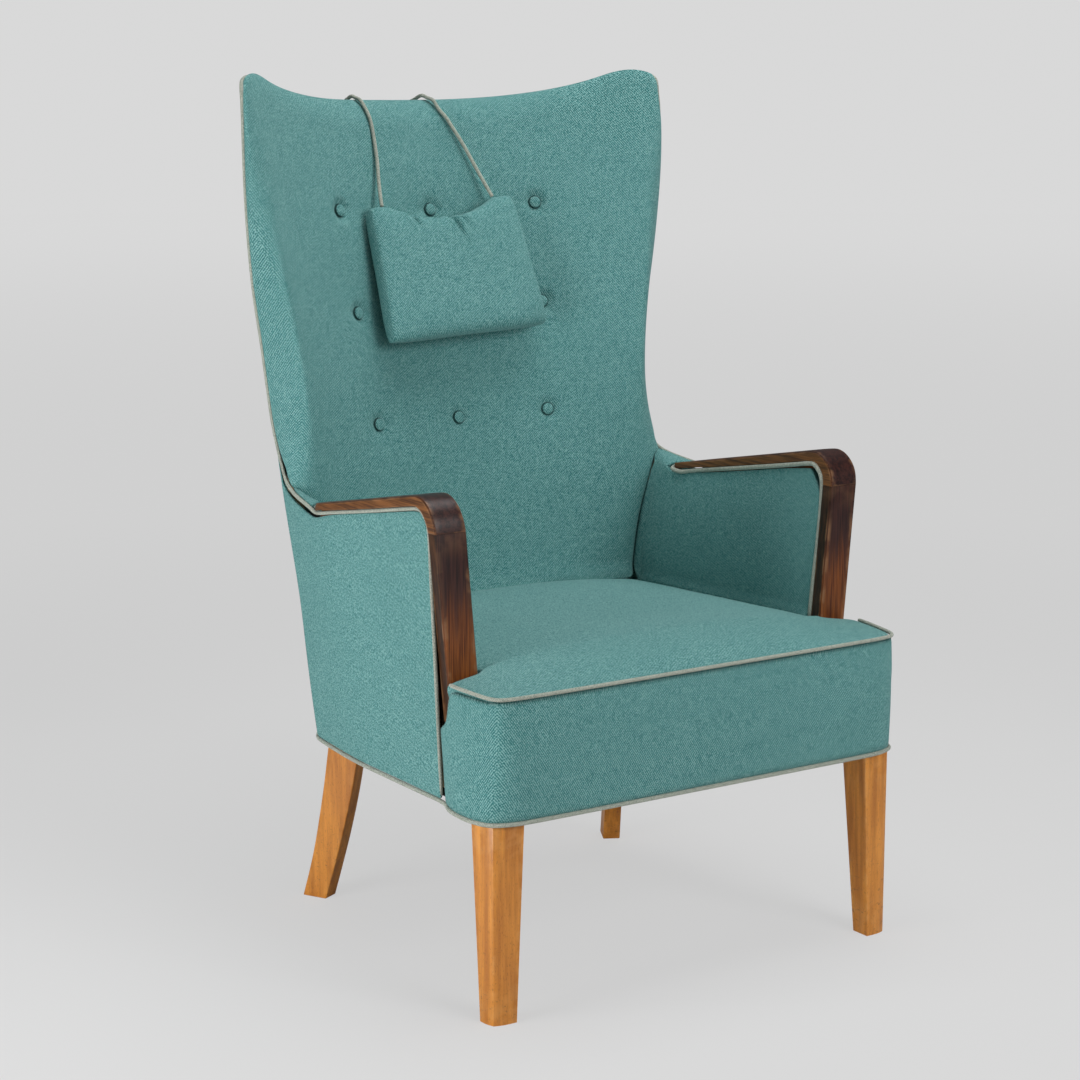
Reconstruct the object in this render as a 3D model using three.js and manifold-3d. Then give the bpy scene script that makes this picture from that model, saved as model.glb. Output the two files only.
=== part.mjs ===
// Fireside chair: a high winged back, show-wood arms, a sprung seat and a neck pillow.
// The pillow hangs on two cords over the back, and a weight behind the back balances it.
// Millimetres. x runs across, y runs back from the front edge of the seat, z runs up from the floor.
import * as THREE from 'three';
import { mergeVertices } from 'three/addons/utils/BufferGeometryUtils.js';
import Module from 'manifold-3d';

const wasm = await Module();
wasm.setup();

// Clearances
const seatGap = 0.3;
const softGap = 1;
const creaseGap = 1.5;
const frameClearance = 3.5;

// Heights, stacked from the floor up
const baseHeight = 253;
const railFootRise = 9;
const railDepth = 69;
const springRise = 31;
const seatPadDepth = 45;
const seatCrownRise = 29;
const seatBackRise = 9;
const armRearRise = 159;
const armBendRise = 15.5;
const armMidRise = 35;
const armFrontRise = 57;
const backAboveArm = 510.5;
const wingAboveBack = 65;
const railFoot = baseHeight + railFootRise;
const railHeight = railFoot + railDepth;
const seatPadFoot = railHeight + springRise;
const seatEdgeHeight = seatPadFoot + seatPadDepth;
const seatCrownHeight = seatEdgeHeight + seatCrownRise;
const seatBackHeight = seatEdgeHeight + seatBackRise;
const armRearHeight = seatBackHeight + armRearRise;
const armBendHeight = armRearHeight + armBendRise;
const armMidHeight = armRearHeight + armMidRise;
const armFrontHeight = armRearHeight + armFrontRise;
const backHeight = armRearHeight + backAboveArm;
const wingHeight = backHeight + wingAboveBack;

// Half widths, from the middle of the seat outwards
const seatHalfWidth = 260.5;
const armFootSetOff = 1.5;
const armLeanOut = 19;
const armWidth = 44;
const sideTaper = 17;
const wingOverhang = 12;
const borderSetBack = 6;
const armInnerFootHalfWidth = seatHalfWidth + armFootSetOff;
const armInnerHalfWidth = armInnerFootHalfWidth + armLeanOut;
const sideTopHalfWidth = armInnerHalfWidth + armWidth;
const sideFootHalfWidth = sideTopHalfWidth - sideTaper;
const wingHalfWidth = sideTopHalfWidth + wingOverhang;
const seatFrontHalfWidth = sideTopHalfWidth - borderSetBack;

// Inside of the back: a raked line that curves forward into the wings
const backFootDepth = 520;
const backRake = THREE.MathUtils.degToRad(14.54);
const backBow = 76.08;
const curveGrowthHeight = 142;
const backPadThickness = 26;
const wingPadThickness = 10;
const wingSwell = 8;
const wingSwellRun = 120;
const coverEdgeThickness = 3;
const rollHeight = 28;
const rollWidth = 29;
const topEdgeDrop = 12;
const cornerEdgeDrop = 14;
const shoulderShare = 0.94;
const rollSweep = THREE.MathUtils.degToRad(130);
const wingSweep = THREE.MathUtils.degToRad(110);
const creaseSweep = THREE.MathUtils.degToRad(108);
const padFootDrop = 60;

// Outside of the back
const backFootThickness = 42;
const backTopThickness = 42;
const wingReach = 53;
const panelThickness = 3;
const rearCornerSharpness = 6;
const crestSharpness = 3.5;
const crestEndShare = 0.93;
const wingBowSharpness = 2.3;
const cornerRun = 140;
const cornerEasing = 1.3;
const rearFootDepth = backFootDepth + backFootThickness;
const rearTopDepth = backFootDepth + (backHeight - seatBackHeight) * Math.tan(backRake) + backTopThickness;
const wingDepth = backFootDepth + wingReach;

// Show-wood arms
const armBendDepth = 152;
const armBendOuterRadius = 42;
const armBendInnerRadius = 29;
const armBendInnerShift = 4;
const armSlope = THREE.MathUtils.degToRad(10.5);
const armEndSetBack = 65;
const armTaperRun = 43;
const armMidRun = 183;
const armMidThickness = 12;
const armRearThickness = 8.5;
const postTipRise = 24;
const postLean = 0.088;
const postFlare = 1.5;
const armCoreWidth = 20;
const armCoreInset = 16;
const armCoreDepth = 22;
const armCoreSetBack = 4;
const armTongueShift = 8;
const armTongueWidth = 12;
const armTongueSetBack = 14;
const armEasing = 2;
const armPadThickness = 10;
const armPadEasing = 4;
const armSeamSetBack = 20;
const armOverRise = 5;
const armEndDepth = backFootDepth - armEndSetBack;
const armShoulderDepth = armEndDepth - armTaperRun;
const armMidDepth = armEndDepth - armMidRun;
const armCoreShoulder = armShoulderDepth - armCoreSetBack;
const armCoreEnd = backFootDepth - armTongueSetBack;
const armSeamTopDepth = backFootDepth - armSeamSetBack;
const postTipHeight = railHeight + postTipRise;

// Piping
const pipingRadius = 2.9;
const pipingLane = 3.3;
const pipingSides = 6;

// Seat
const seatCrownDepth = 130;
const seatSideFall = 16;
const seatRearFallShare = 0.05;
const borderThickness = 13;
const borderBulge = 6;
const borderCornerRadius = 36;
const borderRearDepth = 121;
const borderTopRearDepth = 92;
const borderTipDrop = 3;
const borderLipDrop = 34;
const seatRiseSharpness = 2.2;
const seatSideSharpness = 2.5;
const seatRimDrop = 6;

// Timber frame
const railThickness = 24;
const legTopSize = 48;
const legRimInset = 2;
const legShoulderDrop = 3;
const legCoreWidth = 27;
const legCoreLength = 30;
const frontLegSetOff = 5.5;
const frontFootSplay = 11;
const frontLegDepth = 10;
const frontLegCornerRadius = 15;
const frontFootLength = 28;
const rearFootSetIn = 11.5;
const rearFootSetBack = 19;
const rearLegTurn = THREE.MathUtils.degToRad(28);
const rearLegWidth = 50;
const rearLegThickness = 25;
const sideRailSetOff = 7.5;
const sideRailThickness = 22;
const rearRailSetIn = 59;
const rearRailOverrun = 19.5;
const cornerBlockSize = 34;
const backPostSetIn = 54.5;
const timberWidth = 25;
const postJog = 14;
const backPostKneeRise = 54;
const wingPostKneeRise = 75;
const wingPostInset = 36;
const wingPostWidthShare = 0.8;
const lowerRailRise = 24;
const middleRailRise = 125;
const topRailDrop = 100.5;
const backRailHeight = 35;
const topRailHeight = 25;
const dustCoverThickness = 2.2;
const legShoulderHeight = baseHeight - legShoulderDrop;
const frontLegInset = seatHalfWidth + frontLegSetOff;
const frontFootInset = frontLegInset + frontFootSplay;
const rearFootHalfWidth = seatHalfWidth - rearFootSetIn;
const rearFootFront = backFootDepth + rearFootSetBack;
const sideRailInnerHalfWidth = seatHalfWidth + sideRailSetOff;
const rearRailFront = backFootDepth - rearRailSetIn;
const rearRailHalfWidth = seatHalfWidth + rearRailOverrun;
const backPostInset = seatHalfWidth - backPostSetIn;
const backPostKneeHeight = railHeight + backPostKneeRise;
const wingPostKneeHeight = armRearHeight + wingPostKneeRise;
const lowerRailFoot = seatBackHeight + lowerRailRise;
const middleRailFoot = armRearHeight + middleRailRise;
const topRailFoot = backHeight - topRailDrop;

// Webbing and springs
const webbingWidth = 50;
const webbingThickness = 3;
const webbingOverrun = 5;
const springRadius = 38;
const springWaistRadius = 26;
const springWire = 1.9;
const springTurns = 3.5;
const springTurnSteps = 7;
const springFirstDepth = 125;
const springSideRoom = 110.5;
const springRearRoom = 80;
const springSpacingAcross = seatHalfWidth - springSideRoom;
const springSpacingDeep = (rearRailFront - springRearRoom - springFirstDepth) / 2;
const webbingHalfSpan = rearRailHalfWidth + webbingOverrun;

// Buttons and tufts
const buttonRadius = 8.4;
const buttonHeight = 5;
const buttonSeat = 2.5;
const buttonSides = 10;
const tuftDepth = 8;
const tuftRadius = 30;

// Neck pillow, its cords and the weight behind the back
const pillowWidth = 264;
const pillowTopWidth = 242;
const pillowLength = 197;
const pillowThickness = 44;
const pillowSeamThickness = 14;
const pillowDrop = 239;
const pillowOffset = 1;
const pillowTilt = THREE.MathUtils.degToRad(2.5);
const pillowTopStandoff = 27;
const pillowFootStandoff = 46;
const pillowDrawIn = 3;
const pillowTopSag = 18;
const pillowSagEndShare = 0.76;
const pillowBellyShare = 0.1;
const pillowCornerShare = 0.05;
const crownSharpness = 2.4;
const pillowCrownSharpness = 3.2;
const cordRadius = 2.6;
const weightWidth = 150;
const weightLength = 70;
const weightThickness = 26;
const weightSeamThickness = 3;
const weightDrop = 235.5;
const weightOffset = -43;
const pillowCentreHeight = backHeight - pillowDrop;
const weightCentreHeight = backHeight - weightDrop;

// Cord routes, from the pillow over the top of the back to the weight
const leftCord = [
  [-96.4, 625.9, 942.7], [-94, 634, 957], [-90, 645, 977], [-86, 655, 1000], [-84, 664.5, 1025],
  [-84, 672, 1048], [-86, 675.3, 1062], [-89, 682.8, 1075.5], [-92, 690.1, 1085.2], [-94, 698.8, 1088.2],
  [-96, 706.9, 1090.3], [-98, 716.8, 1085.8], [-99, 725.5, 1080.6], [-99, 730, 1075.8], [-99, 728, 1069],
  [-99, 724, 1058], [-99, 718.8, 1035], [-99, 712, 1000], [-99, 704.3, 960], [-99, 702, 925],
  [-99, 705, 903], [-99, 706.5, 882.3],
];
const rightCord = [
  [84.4, 627.9, 950], [80, 636, 964], [74, 646, 982], [66, 655, 1003], [57, 664, 1025],
  [48, 672.5, 1044], [41, 679.5, 1059], [34, 688.6, 1071.2], [29, 695.3, 1083], [25, 704.3, 1086.6],
  [21, 713.3, 1089.6], [17, 725.3, 1084.4], [14.5, 734.7, 1079.8], [13, 739, 1075.1], [13, 736.8, 1068.5],
  [13, 733, 1055], [13, 727.3, 1030], [13, 720.6, 1000], [13, 712.4, 960], [13, 707, 925],
  [13, 706.8, 903], [13, 706.8, 882.2],
];

const fabric = () => new THREE.MeshStandardMaterial({ color: 0x5f9793, roughness: 0.95, metalness: 0 });
const pipingCloth = () => new THREE.MeshStandardMaterial({ color: 0xa5b5a9, roughness: 0.9, metalness: 0 });
const showWood = () => new THREE.MeshStandardMaterial({ color: 0x5a2a18, roughness: 0.35, metalness: 0 });
const legWood = () => new THREE.MeshStandardMaterial({ color: 0xc0782f, roughness: 0.45, metalness: 0 });
const frameWood = () => new THREE.MeshStandardMaterial({ color: 0xcfae7c, roughness: 0.8, metalness: 0 });
const jute = () => new THREE.MeshStandardMaterial({ color: 0xb69a6a, roughness: 0.95, metalness: 0 });
const springSteel = () => new THREE.MeshStandardMaterial({ color: 0x8a8d90, roughness: 0.4, metalness: 1 });
const lining = () => new THREE.MeshStandardMaterial({ color: 0x3c3f40, roughness: 0.95, metalness: 0 });

const assembly = new THREE.Group();
const { lerp, clamp, smoothstep } = THREE.MathUtils;
const point = (x, y, z) => new THREE.Vector3(x, y, z);

function addPart(name, geometry, material) {
  const mesh = new THREE.Mesh(geometry, material);
  mesh.name = name;
  assembly.add(mesh);
  return mesh;
}

// Both sides of the chair carry the same piece, mirrored across x
function addPair(name, build, material) {
  for (const [side, sign] of [['left', -1], ['right', 1]]) {
    addPart(`${name}_${side}`, mirrored(build(), sign), material());
  }
}

function mirrored(geometry, sign) {
  if (sign > 0) return geometry;
  geometry.scale(-1, 1, 1);
  return faceOutwards(geometry);
}

// Turns every triangle over when the enclosed volume comes out negative
function faceOutwards(geometry) {
  const places = geometry.attributes.position;
  const index = geometry.index.array;
  const [a, b, c] = [point(), point(), point()];
  let volume = 0;
  for (let i = 0; i < index.length; i += 3) {
    a.fromBufferAttribute(places, index[i]);
    b.fromBufferAttribute(places, index[i + 1]);
    c.fromBufferAttribute(places, index[i + 2]);
    volume += a.dot(b.cross(c));
  }
  if (volume < 0) {
    for (let i = 0; i < index.length; i += 3) {
      [index[i + 1], index[i + 2]] = [index[i + 2], index[i + 1]];
    }
  }
  geometry.computeVertexNormals();
  return geometry;
}

function closedBody(points, triangles) {
  const geometry = new THREE.BufferGeometry();
  geometry.setFromPoints(points);
  geometry.setIndex(triangles);
  return faceOutwards(geometry);
}

function toSolid(geometry) {
  const bare = geometry.clone();
  bare.deleteAttribute('normal');
  bare.deleteAttribute('uv');
  const merged = mergeVertices(bare);
  return new wasm.Manifold(new wasm.Mesh({
    numProp: 3,
    vertProperties: merged.attributes.position.array,
    triVerts: new Uint32Array(merged.index.array),
  }));
}

function fromSolid(solid) {
  const { vertProperties, triVerts } = solid.getMesh();
  const geometry = new THREE.BufferGeometry();
  geometry.setAttribute('position', new THREE.BufferAttribute(new Float32Array(vertProperties), 3));
  geometry.setIndex([...triVerts]);
  geometry.computeVertexNormals();
  return geometry;
}

const joined = (a, b) => fromSolid(toSolid(a).add(toSolid(b)));

// Cells of a grid of rows and columns; those that keep() refuses are left out
function gridCells(rows, columns, keep = () => true) {
  const cells = [];
  for (let j = 0; j < rows - 1; j += 1) {
    for (let i = 0; i < columns - 1; i += 1) {
      if (keep(j, i)) {
        const corner = j * columns + i;
        cells.push([corner, corner + 1, corner + columns + 1, corner + columns]);
      }
    }
  }
  return cells;
}

// A thick skin: four-sided cells on the front points and on the rear ones, with walls round every open edge
function thickSkin(front, rear, cells) {
  const count = front.length;
  const triangles = [];
  const edges = new Set();
  const sides = ([a, b, c, d]) => [[a, b], [b, c], [c, d], [d, a]];
  const quad = (a, b, c, d) => triangles.push(a, b, c, a, c, d);
  for (const cell of cells) {
    const [a, b, c, d] = cell;
    quad(a, b, c, d);
    quad(count + a, count + d, count + c, count + b);
    sides(cell).forEach(([from, to]) => edges.add(`${from} ${to}`));
  }
  for (const cell of cells) {
    for (const [from, to] of sides(cell)) {
      if (!edges.has(`${to} ${from}`)) quad(from, count + from, count + to, to);
    }
  }
  const points = [...front, ...rear];
  const used = [...new Set(triangles)];
  const places = new Map(used.map((old, place) => [old, place]));
  return closedBody(used.map((old) => points[old]), triangles.map((old) => places.get(old)));
}

// Points moved against the average normal of the cells round them
function sunk(points, cells, depthAt) {
  const normals = points.map(() => point());
  for (const [a, b, c, d] of cells) {
    const normal = points[c].clone().sub(points[a]).cross(points[d].clone().sub(points[b]));
    for (const corner of [a, b, c, d]) normals[corner].add(normal);
  }
  return points.map((p, place) => p.clone().addScaledVector(normals[place].normalize(), -depthAt(p, place)));
}

// A solid skinned over rings of points, closed by a cap on its first and last ring
function loft(rings) {
  const count = rings[0].length;
  const points = rings.flat();
  const triangles = [];
  for (let j = 0; j < rings.length - 1; j += 1) {
    for (let i = 0; i < count; i += 1) {
      const next = (i + 1) % count;
      const a = j * count + i;
      const b = j * count + next;
      triangles.push(a, b, b + count, a, b + count, a + count);
    }
  }
  const cap = capTriangles(rings[0]);
  const last = points.length - count;
  for (const [a, b, c] of cap) {
    triangles.push(a, c, b, last + a, last + b, last + c);
  }
  return closedBody(points, triangles);
}

// Triangles of a flat ring, in the winding that the loft's sides expect
function capTriangles(ring) {
  const centre = ring.reduce((sum, p) => sum.add(p), point()).divideScalar(ring.length);
  const normal = point();
  ring.forEach((p, i) => {
    const next = ring[(i + 1) % ring.length];
    normal.add(p.clone().sub(centre).cross(next.clone().sub(centre)));
  });
  normal.normalize();
  const across = ring[1].clone().sub(ring[0]).normalize();
  const up = normal.clone().cross(across);
  const arms = ring.map((p) => p.clone().sub(centre));
  const flat = arms.map((arm) => new THREE.Vector2(arm.dot(across), arm.dot(up)));
  return THREE.ShapeUtils.triangulateShape(flat, []);
}

// A straight-sided timber whose rectangular section is given at each height
function timber(stations) {
  return loft(stations.map(([z, x0, x1, y0, y1]) => [
    point(x0, y0, z), point(x1, y0, z), point(x1, y1, z), point(x0, y1, z),
  ]));
}

function block(x0, x1, y0, y1, z0, z1) {
  return timber([[z0, x0, x1, y0, y1], [z1, x0, x1, y0, y1]]);
}

// A cord or piping along a curve
function tube(curve, radius, sides, steps) {
  const outline = [];
  for (let i = 0; i < sides; i += 1) {
    const angle = (i / sides) * 2 * Math.PI;
    outline.push(new THREE.Vector2(radius * Math.cos(angle), radius * Math.sin(angle)));
  }
  const shape = new THREE.Shape(outline);
  return new THREE.ExtrudeGeometry(shape, { steps, bevelEnabled: false, extrudePath: curve });
}

const smoothCurve = (points) => new THREE.CatmullRomCurve3(points, false, 'centripetal');

function tabled(rows, column, key) {
  const next = clamp(rows.findIndex((row) => row[0] >= key), 1, rows.length - 1);
  const upper = key > rows[rows.length - 1][0] ? rows.length - 1 : next;
  const [from, to] = [rows[upper - 1], rows[upper]];
  return lerp(from[column], to[column], clamp((key - from[0]) / (to[0] - from[0]), 0, 1));
}

// Surfaces of the back
const insideSkin = (x, z) => {
  const growth = 1 - Math.exp(-Math.max(z - seatBackHeight, 0) / curveGrowthHeight);
  const nearEdge = smoothstep(Math.abs(x), wingHalfWidth - wingSwellRun, wingHalfWidth - rollWidth / 2);
  const swell = wingSwell * nearEdge * smoothstep(z, armRearHeight, armRearHeight + wingSwellRun);
  const bow = backBow * growth * (x / seatHalfWidth) ** 2;
  return backFootDepth + (z - seatBackHeight) * Math.tan(backRake) - bow - swell;
};
const rearLine = (z) => lerp(rearFootDepth, rearTopDepth, (z - baseHeight) / (backHeight - baseHeight));

// Rear edge of the side: height, half width and depth, up the corner and then up the wing
const cornerShares = [
  [0, 0.872, 0.822],
  [0.25, 0.882, 0.851],
  [0.58, 0.89, 0.876],
  [0.85, 0.896, 0.921],
  [1.22, 0.894, 0.9825],
];
const wingShares = [
  [0.127, 0.894, 0.9825],
  [0.2, 0.898, 1],
  [0.34, 0.922, 1.007],
  [0.488, 0.96, 1.006],
  [0.559, 0.977, 1],
  [0.7, 0.989, 0.998],
  [0.85, 0.991, 0.999],
  [0.935, 0.986, 1.0095],
  [0.97, 0.966, 1.0292],
  [1, 0.922, 1.0515],
];
const armRise = armRearHeight - baseHeight;
const wingRise = wingHeight - armRearHeight;
const junctionHeight = armRearHeight + wingRise * wingShares[0][0];
function sideEdge(z) {
  const upper = z > junctionHeight;
  const rows = upper ? wingShares : cornerShares;
  const share = upper ? (z - armRearHeight) / wingRise : (z - baseHeight) / armRise;
  return { x: wingHalfWidth * tabled(rows, 1, share), y: wingDepth * tabled(rows, 2, share) };
}
const outsideSkin = (x, z) => {
  const edge = sideEdge(z);
  const upWing = smoothstep(z, armRearHeight, armRearHeight + wingRise / 2);
  const sharpness = lerp(rearCornerSharpness, wingBowSharpness, upWing);
  const share = Math.min(Math.abs(x) / edge.x, 1);
  return rearLine(z) - (rearLine(z) - edge.y) * share ** sharpness;
};

// How much farther it is through a skin along y than square to it
function slantOf(skin, x, z) {
  const step = softGap;
  const slopeX = (skin(x + step, z) - skin(x - step, z)) / (2 * step);
  const slopeZ = (skin(x, z + step) - skin(x, z - step)) / (2 * step);
  return Math.hypot(1, slopeX, slopeZ);
}
function padThicknessAt(x, z) {
  const nominal = lerp(backPadThickness, wingPadThickness, Math.min((x / wingHalfWidth) ** 2, 1));
  const depth = (outsideSkin(x, z) - insideSkin(x, z)) / slantOf(insideSkin, x, z);
  return clamp(depth - panelThickness - frameClearance, coverEdgeThickness, nominal);
}
const sideHalfWidth = (z) => {
  const rise = (z - baseHeight) / (armFrontHeight - baseHeight);
  return lerp(sideFootHalfWidth, sideTopHalfWidth, rise);
};
const sideSkin = (y, z) => {
  const edge = sideEdge(z);
  const run = clamp((y - (edge.y - cornerRun)) / cornerRun, 0, 1);
  return lerp(sideHalfWidth(z), edge.x, run ** cornerEasing);
};
const topRise = wingHeight - backHeight;
const crestHeight = (x) => {
  const out = Math.min(Math.abs(x) / (wingHalfWidth * crestEndShare), 1);
  return backHeight + topRise * out ** crestSharpness;
};

// Edge of the inside cover and the shoulder where it starts to roll over, for the right half.
// The edge runs up the crease beside the arm, round the end of the arm and up the wing.
const creaseRise = armRearHeight - seatBackHeight;
const creaseShares = [
  [-0.16, 0.777, 0.926, -0.16, 0.7],
  [0.176, 0.789, 0.932, 0.176, 0.706],
  [0.509, 0.804, 0.9215, 0.509, 0.721],
  [0.811, 0.828, 0.892, 0.87, 0.738],
  [1, 0.872, 0.878, 1.14, 0.748],
];
const armEndShares = [
  [0.02, 0.91, 0.887, 0.072, 0.758],
  [0.04, 0.905, 0.93, 0.1, 0.768],
  [0.076, 0.9, 0.957, 0.125, 0.782],
];
const wingEdgeShares = [
  [0.145, 0.165, 0],
  [0.2, 0.21, 0],
  [0.343, 0.343, 0],
  [0.488, 0.488, 0],
  [0.7, 0.7, 0],
  [0.85, 0.836, 0],
  [0.905, 0.881, 0.6],
];
const cornerEdgeShares = [[0.94, 0.912, 1]];
const onSkin = (x, z) => point(x, insideSkin(x, z), z);

function stationsFrom(rows, foot, rise, onWing) {
  return rows.map(([height, across, depth, shoulderHeight, shoulderAcross]) => ({
    edge: point(wingHalfWidth * across, wingDepth * depth, foot + rise * height),
    shoulder: onSkin(wingHalfWidth * shoulderAcross, foot + rise * shoulderHeight),
    onWing,
    overTop: 0,
    sweep: creaseSweep,
  }));
}

function sideStations() {
  const wing = [...wingEdgeShares, ...cornerEdgeShares].map(([height, shoulderHeight, overTop]) => {
    const z = armRearHeight + wingRise * height;
    const edge = sideEdge(z);
    return {
      edge: point(edge.x, edge.y, z),
      shoulder: onSkin(edge.x - rollWidth, armRearHeight + wingRise * shoulderHeight),
      onWing: 1,
      overTop,
      sweep: wingSweep,
    };
  });
  return [
    ...stationsFrom(creaseShares, seatBackHeight, creaseRise, 0),
    ...stationsFrom(armEndShares, armRearHeight, wingRise, 0),
    ...wing,
  ];
}

// The top edge, from the middle of the back to the corner of the wing
const topEdgeShares = [0, 0.22, 0.44, 0.62, 0.78, 0.89];
function topStations() {
  const across = topEdgeShares.map((share) => share * wingHalfWidth);
  const stations = across.map((x) => {
    const z = crestHeight(x) - topEdgeDrop - cornerEdgeDrop * (x / wingHalfWidth) ** crestSharpness;
    const shoulderX = x * shoulderShare;
    return {
      edge: point(x, outsideSkin(x, z), z),
      shoulder: onSkin(shoulderX, crestHeight(shoulderX) - rollHeight),
      onWing: 1,
      overTop: 1,
      sweep: rollSweep,
    };
  });
  return [...stations, sideStations().at(-1)];
}

const curveThrough = (stations, key) => smoothCurve(stations.map((station) => station[key]));

// Even steps along the shoulder of the side or the top, with the edge point that belongs to each.
// One curve runs over both, so that the corner stays smooth.
function pairedSamples(stations, shares, fromMiddle) {
  const whole = [...sideStations(), ...topStations().slice(0, -1).reverse()];
  const [shoulder, edge] = ['shoulder', 'edge'].map((key) => curveThrough(whole, key));
  const spacing = curveThrough(stations, 'shoulder');
  return shares.map((share) => {
    const station = spacing.getUtoTmapping(share) * (stations.length - 1);
    const below = Math.min(Math.floor(station), stations.length - 2);
    const between = (key) => lerp(stations[below][key], stations[below + 1][key], station - below);
    const along = station / (whole.length - 1);
    const place = fromMiddle ? 1 - along : along;
    return {
      shoulder: shoulder.getPoint(place),
      edge: edge.getPoint(place),
      onWing: between('onWing'),
      overTop: between('overTop'),
      sweep: between('sweep'),
    };
  });
}

function backNormal(x, z) {
  const step = softGap;
  const slopeX = (insideSkin(x + step, z) - insideSkin(x - step, z)) / (2 * step);
  const slopeZ = (insideSkin(x, z + step) - insideSkin(x, z - step)) / (2 * step);
  return point(-slopeX, 1, -slopeZ).normalize();
}

function rollPoint({ shoulder, edge, onWing, overTop, sweep }, share) {
  const back = backNormal(shoulder.x, shoulder.z);
  const inward = shoulder.clone().sub(edge).normalize();
  const forward = point(laneOutShare, -1, 0).normalize().lerp(back.clone().negate(), overTop);
  const lane = inward.lerp(forward, onWing * laneTurnShare).normalize();
  const end = edge.clone().addScaledVector(lane, pipingLane * laneRoomShare);
  const reach = end.sub(shoulder);
  const depth = reach.dot(back);
  reach.addScaledVector(back, -depth);
  const angle = share * sweep;
  return shoulder.clone()
    .addScaledVector(reach, Math.sin(angle) / Math.sin(sweep))
    .addScaledVector(back, (depth * (1 - Math.cos(angle))) / (1 - Math.cos(sweep)));
}

// A patch in x and z between a middle line, a foot line, a side curve and a top curve
function blendedPatch(side, top, columns, rows) {
  const foot = side[0];
  const corner = side[side.length - 1];
  const middle = top[0];
  const between = (u, v, aside, above) => ({
    x: lerp(u * foot.x, above.x, v) + u * (aside.x - lerp(foot.x, corner.x, v)),
    z: lerp(foot.z, above.z, v) + lerp(lerp(foot.z, middle.z, v), aside.z, u)
      - lerp(foot.z, lerp(middle.z, corner.z, u), v),
  });
  return rows.map((v, j) => columns.map((u, i) => between(u, v, side[j], top[i])));
}

const tuftColumn = 3;
const backColumnShares = [0, 0.17, 0.335, 0.492, 0.66, 0.8, 0.88, 0.94, 0.975, 1];
const tuftRows = [6, 10, 14];
const backRowShares = [0, 0.078, 0.141, 0.204, 0.267, 0.329, 0.387, 0.443, 0.498, 0.554, 0.61,
  0.662, 0.713, 0.764, 0.815, 0.864, 0.911, 0.94, 0.965, 0.985, 1];
const rollShares = [0, 0.36, 0.68, 1];
const laneTurnShare = 0.8;
const laneRoomShare = 1.25;
const laneOutShare = 0.5;

function insideBackSkin() {
  const side = pairedSamples(sideStations(), backRowShares, false);
  const top = pairedSamples(topStations(), backColumnShares, true);
  const shoulders = [side, top].map((stations) => stations.map((station) => station.shoulder));
  const patch = blendedPatch(...shoulders, backColumnShares, backRowShares);
  const half = backColumnShares.length - 1;
  const columns = 2 * half + 1;
  const points = [];
  for (const row of patch) {
    for (let i = -half; i <= half; i += 1) {
      const { x, z } = row[Math.abs(i)];
      points.push(onSkin(Math.sign(i) * x, z));
    }
  }
  const cells = gridCells(patch.length, columns);
  const tufts = tuftRows.flatMap((j) => [-1, 0, 1].map((sign) => j * columns + half + sign * tuftColumn));
  addRoll(points, cells, side, top, columns);
  return { points, cells, tufts };
}

// The rolled border outside the patch, as rings that start on its open edge
function addRoll(points, cells, side, top, columns) {
  const rows = side.length;
  const half = (columns - 1) / 2;
  const loop = [];
  side.forEach((station, j) => loop.push({ station, sign: 1, place: j * columns + columns - 1 }));
  for (let i = half - 1; i >= -half + 1; i -= 1) {
    const place = (rows - 1) * columns + half + i;
    loop.push({ station: top[Math.abs(i)], sign: Math.sign(i) || 1, place });
  }
  for (let j = rows - 1; j >= 0; j -= 1) loop.push({ station: side[j], sign: -1, place: j * columns });
  let inner = loop.map(({ place }) => place);
  for (const share of rollShares.slice(1)) {
    const outer = loop.map(({ station, sign }) => {
      const p = rollPoint(station, share);
      p.x *= sign;
      points.push(p);
      return points.length - 1;
    });
    for (let k = 0; k < loop.length - 1; k += 1) {
      cells.push([inner[k], outer[k], outer[k + 1], inner[k + 1]]);
    }
    inner = outer;
  }
}

function insideBackPad() {
  const { points, cells, tufts } = insideBackSkin();
  const inPatch = (place) => place < backRowShares.length * (2 * backColumnShares.length - 1);
  const loop = 2 * (backRowShares.length + backColumnShares.length - 2) + 1;
  const edgeStart = points.length - loop;
  const rear = sunk(points, cells, (p, place) => (
    inPatch(place) ? padThicknessAt(p.x, p.z) : coverEdgeThickness / (place < edgeStart ? 1 : 2)
  ));
  const dimple = (p) => Math.max(...tufts.map((place) => {
    const away = clamp(1 - p.distanceTo(points[place]) / tuftRadius, 0, 1);
    return tuftDepth * away * away;
  }));
  return thickSkin(sunk(points, cells, dimple), rear, cells);
}

// The crease edge of the back cover at a height, which the arm pad meets
const creaseDepth = (z) => {
  const rows = stationsFrom(creaseShares, seatBackHeight, creaseRise, 0).map(({ edge }) => [edge.z, edge.y]);
  return tabled(rows, 1, z);
};

const panelEdgeShare = 0.4;
const panelTopLaneShare = 1.2;
const sideTopLaneShare = 2.6;
// Piping line of the outside: top edge, wing, then under the arm and down behind the post
function outsidePanelGrid() {
  const rows = 15;
  const columns = 7;
  const edge = outsidePanelEdge();
  const top = topStations().map((station) => {
    const p = station.edge.clone();
    p.z -= pipingLane * panelTopLaneShare;
    return p;
  });
  const corner = edge[edge.length - 1];
  top[top.length - 1].copy(corner);
  const side = smoothCurve(edge).getSpacedPoints(rows);
  const across = smoothCurve(top).getSpacedPoints(columns);
  const u = Array.from({ length: columns + 1 }, (_, i) => i / columns);
  const v = Array.from({ length: rows + 1 }, (_, j) => j / rows);
  return blendedPatch(side, across, u, v);
}

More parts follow.
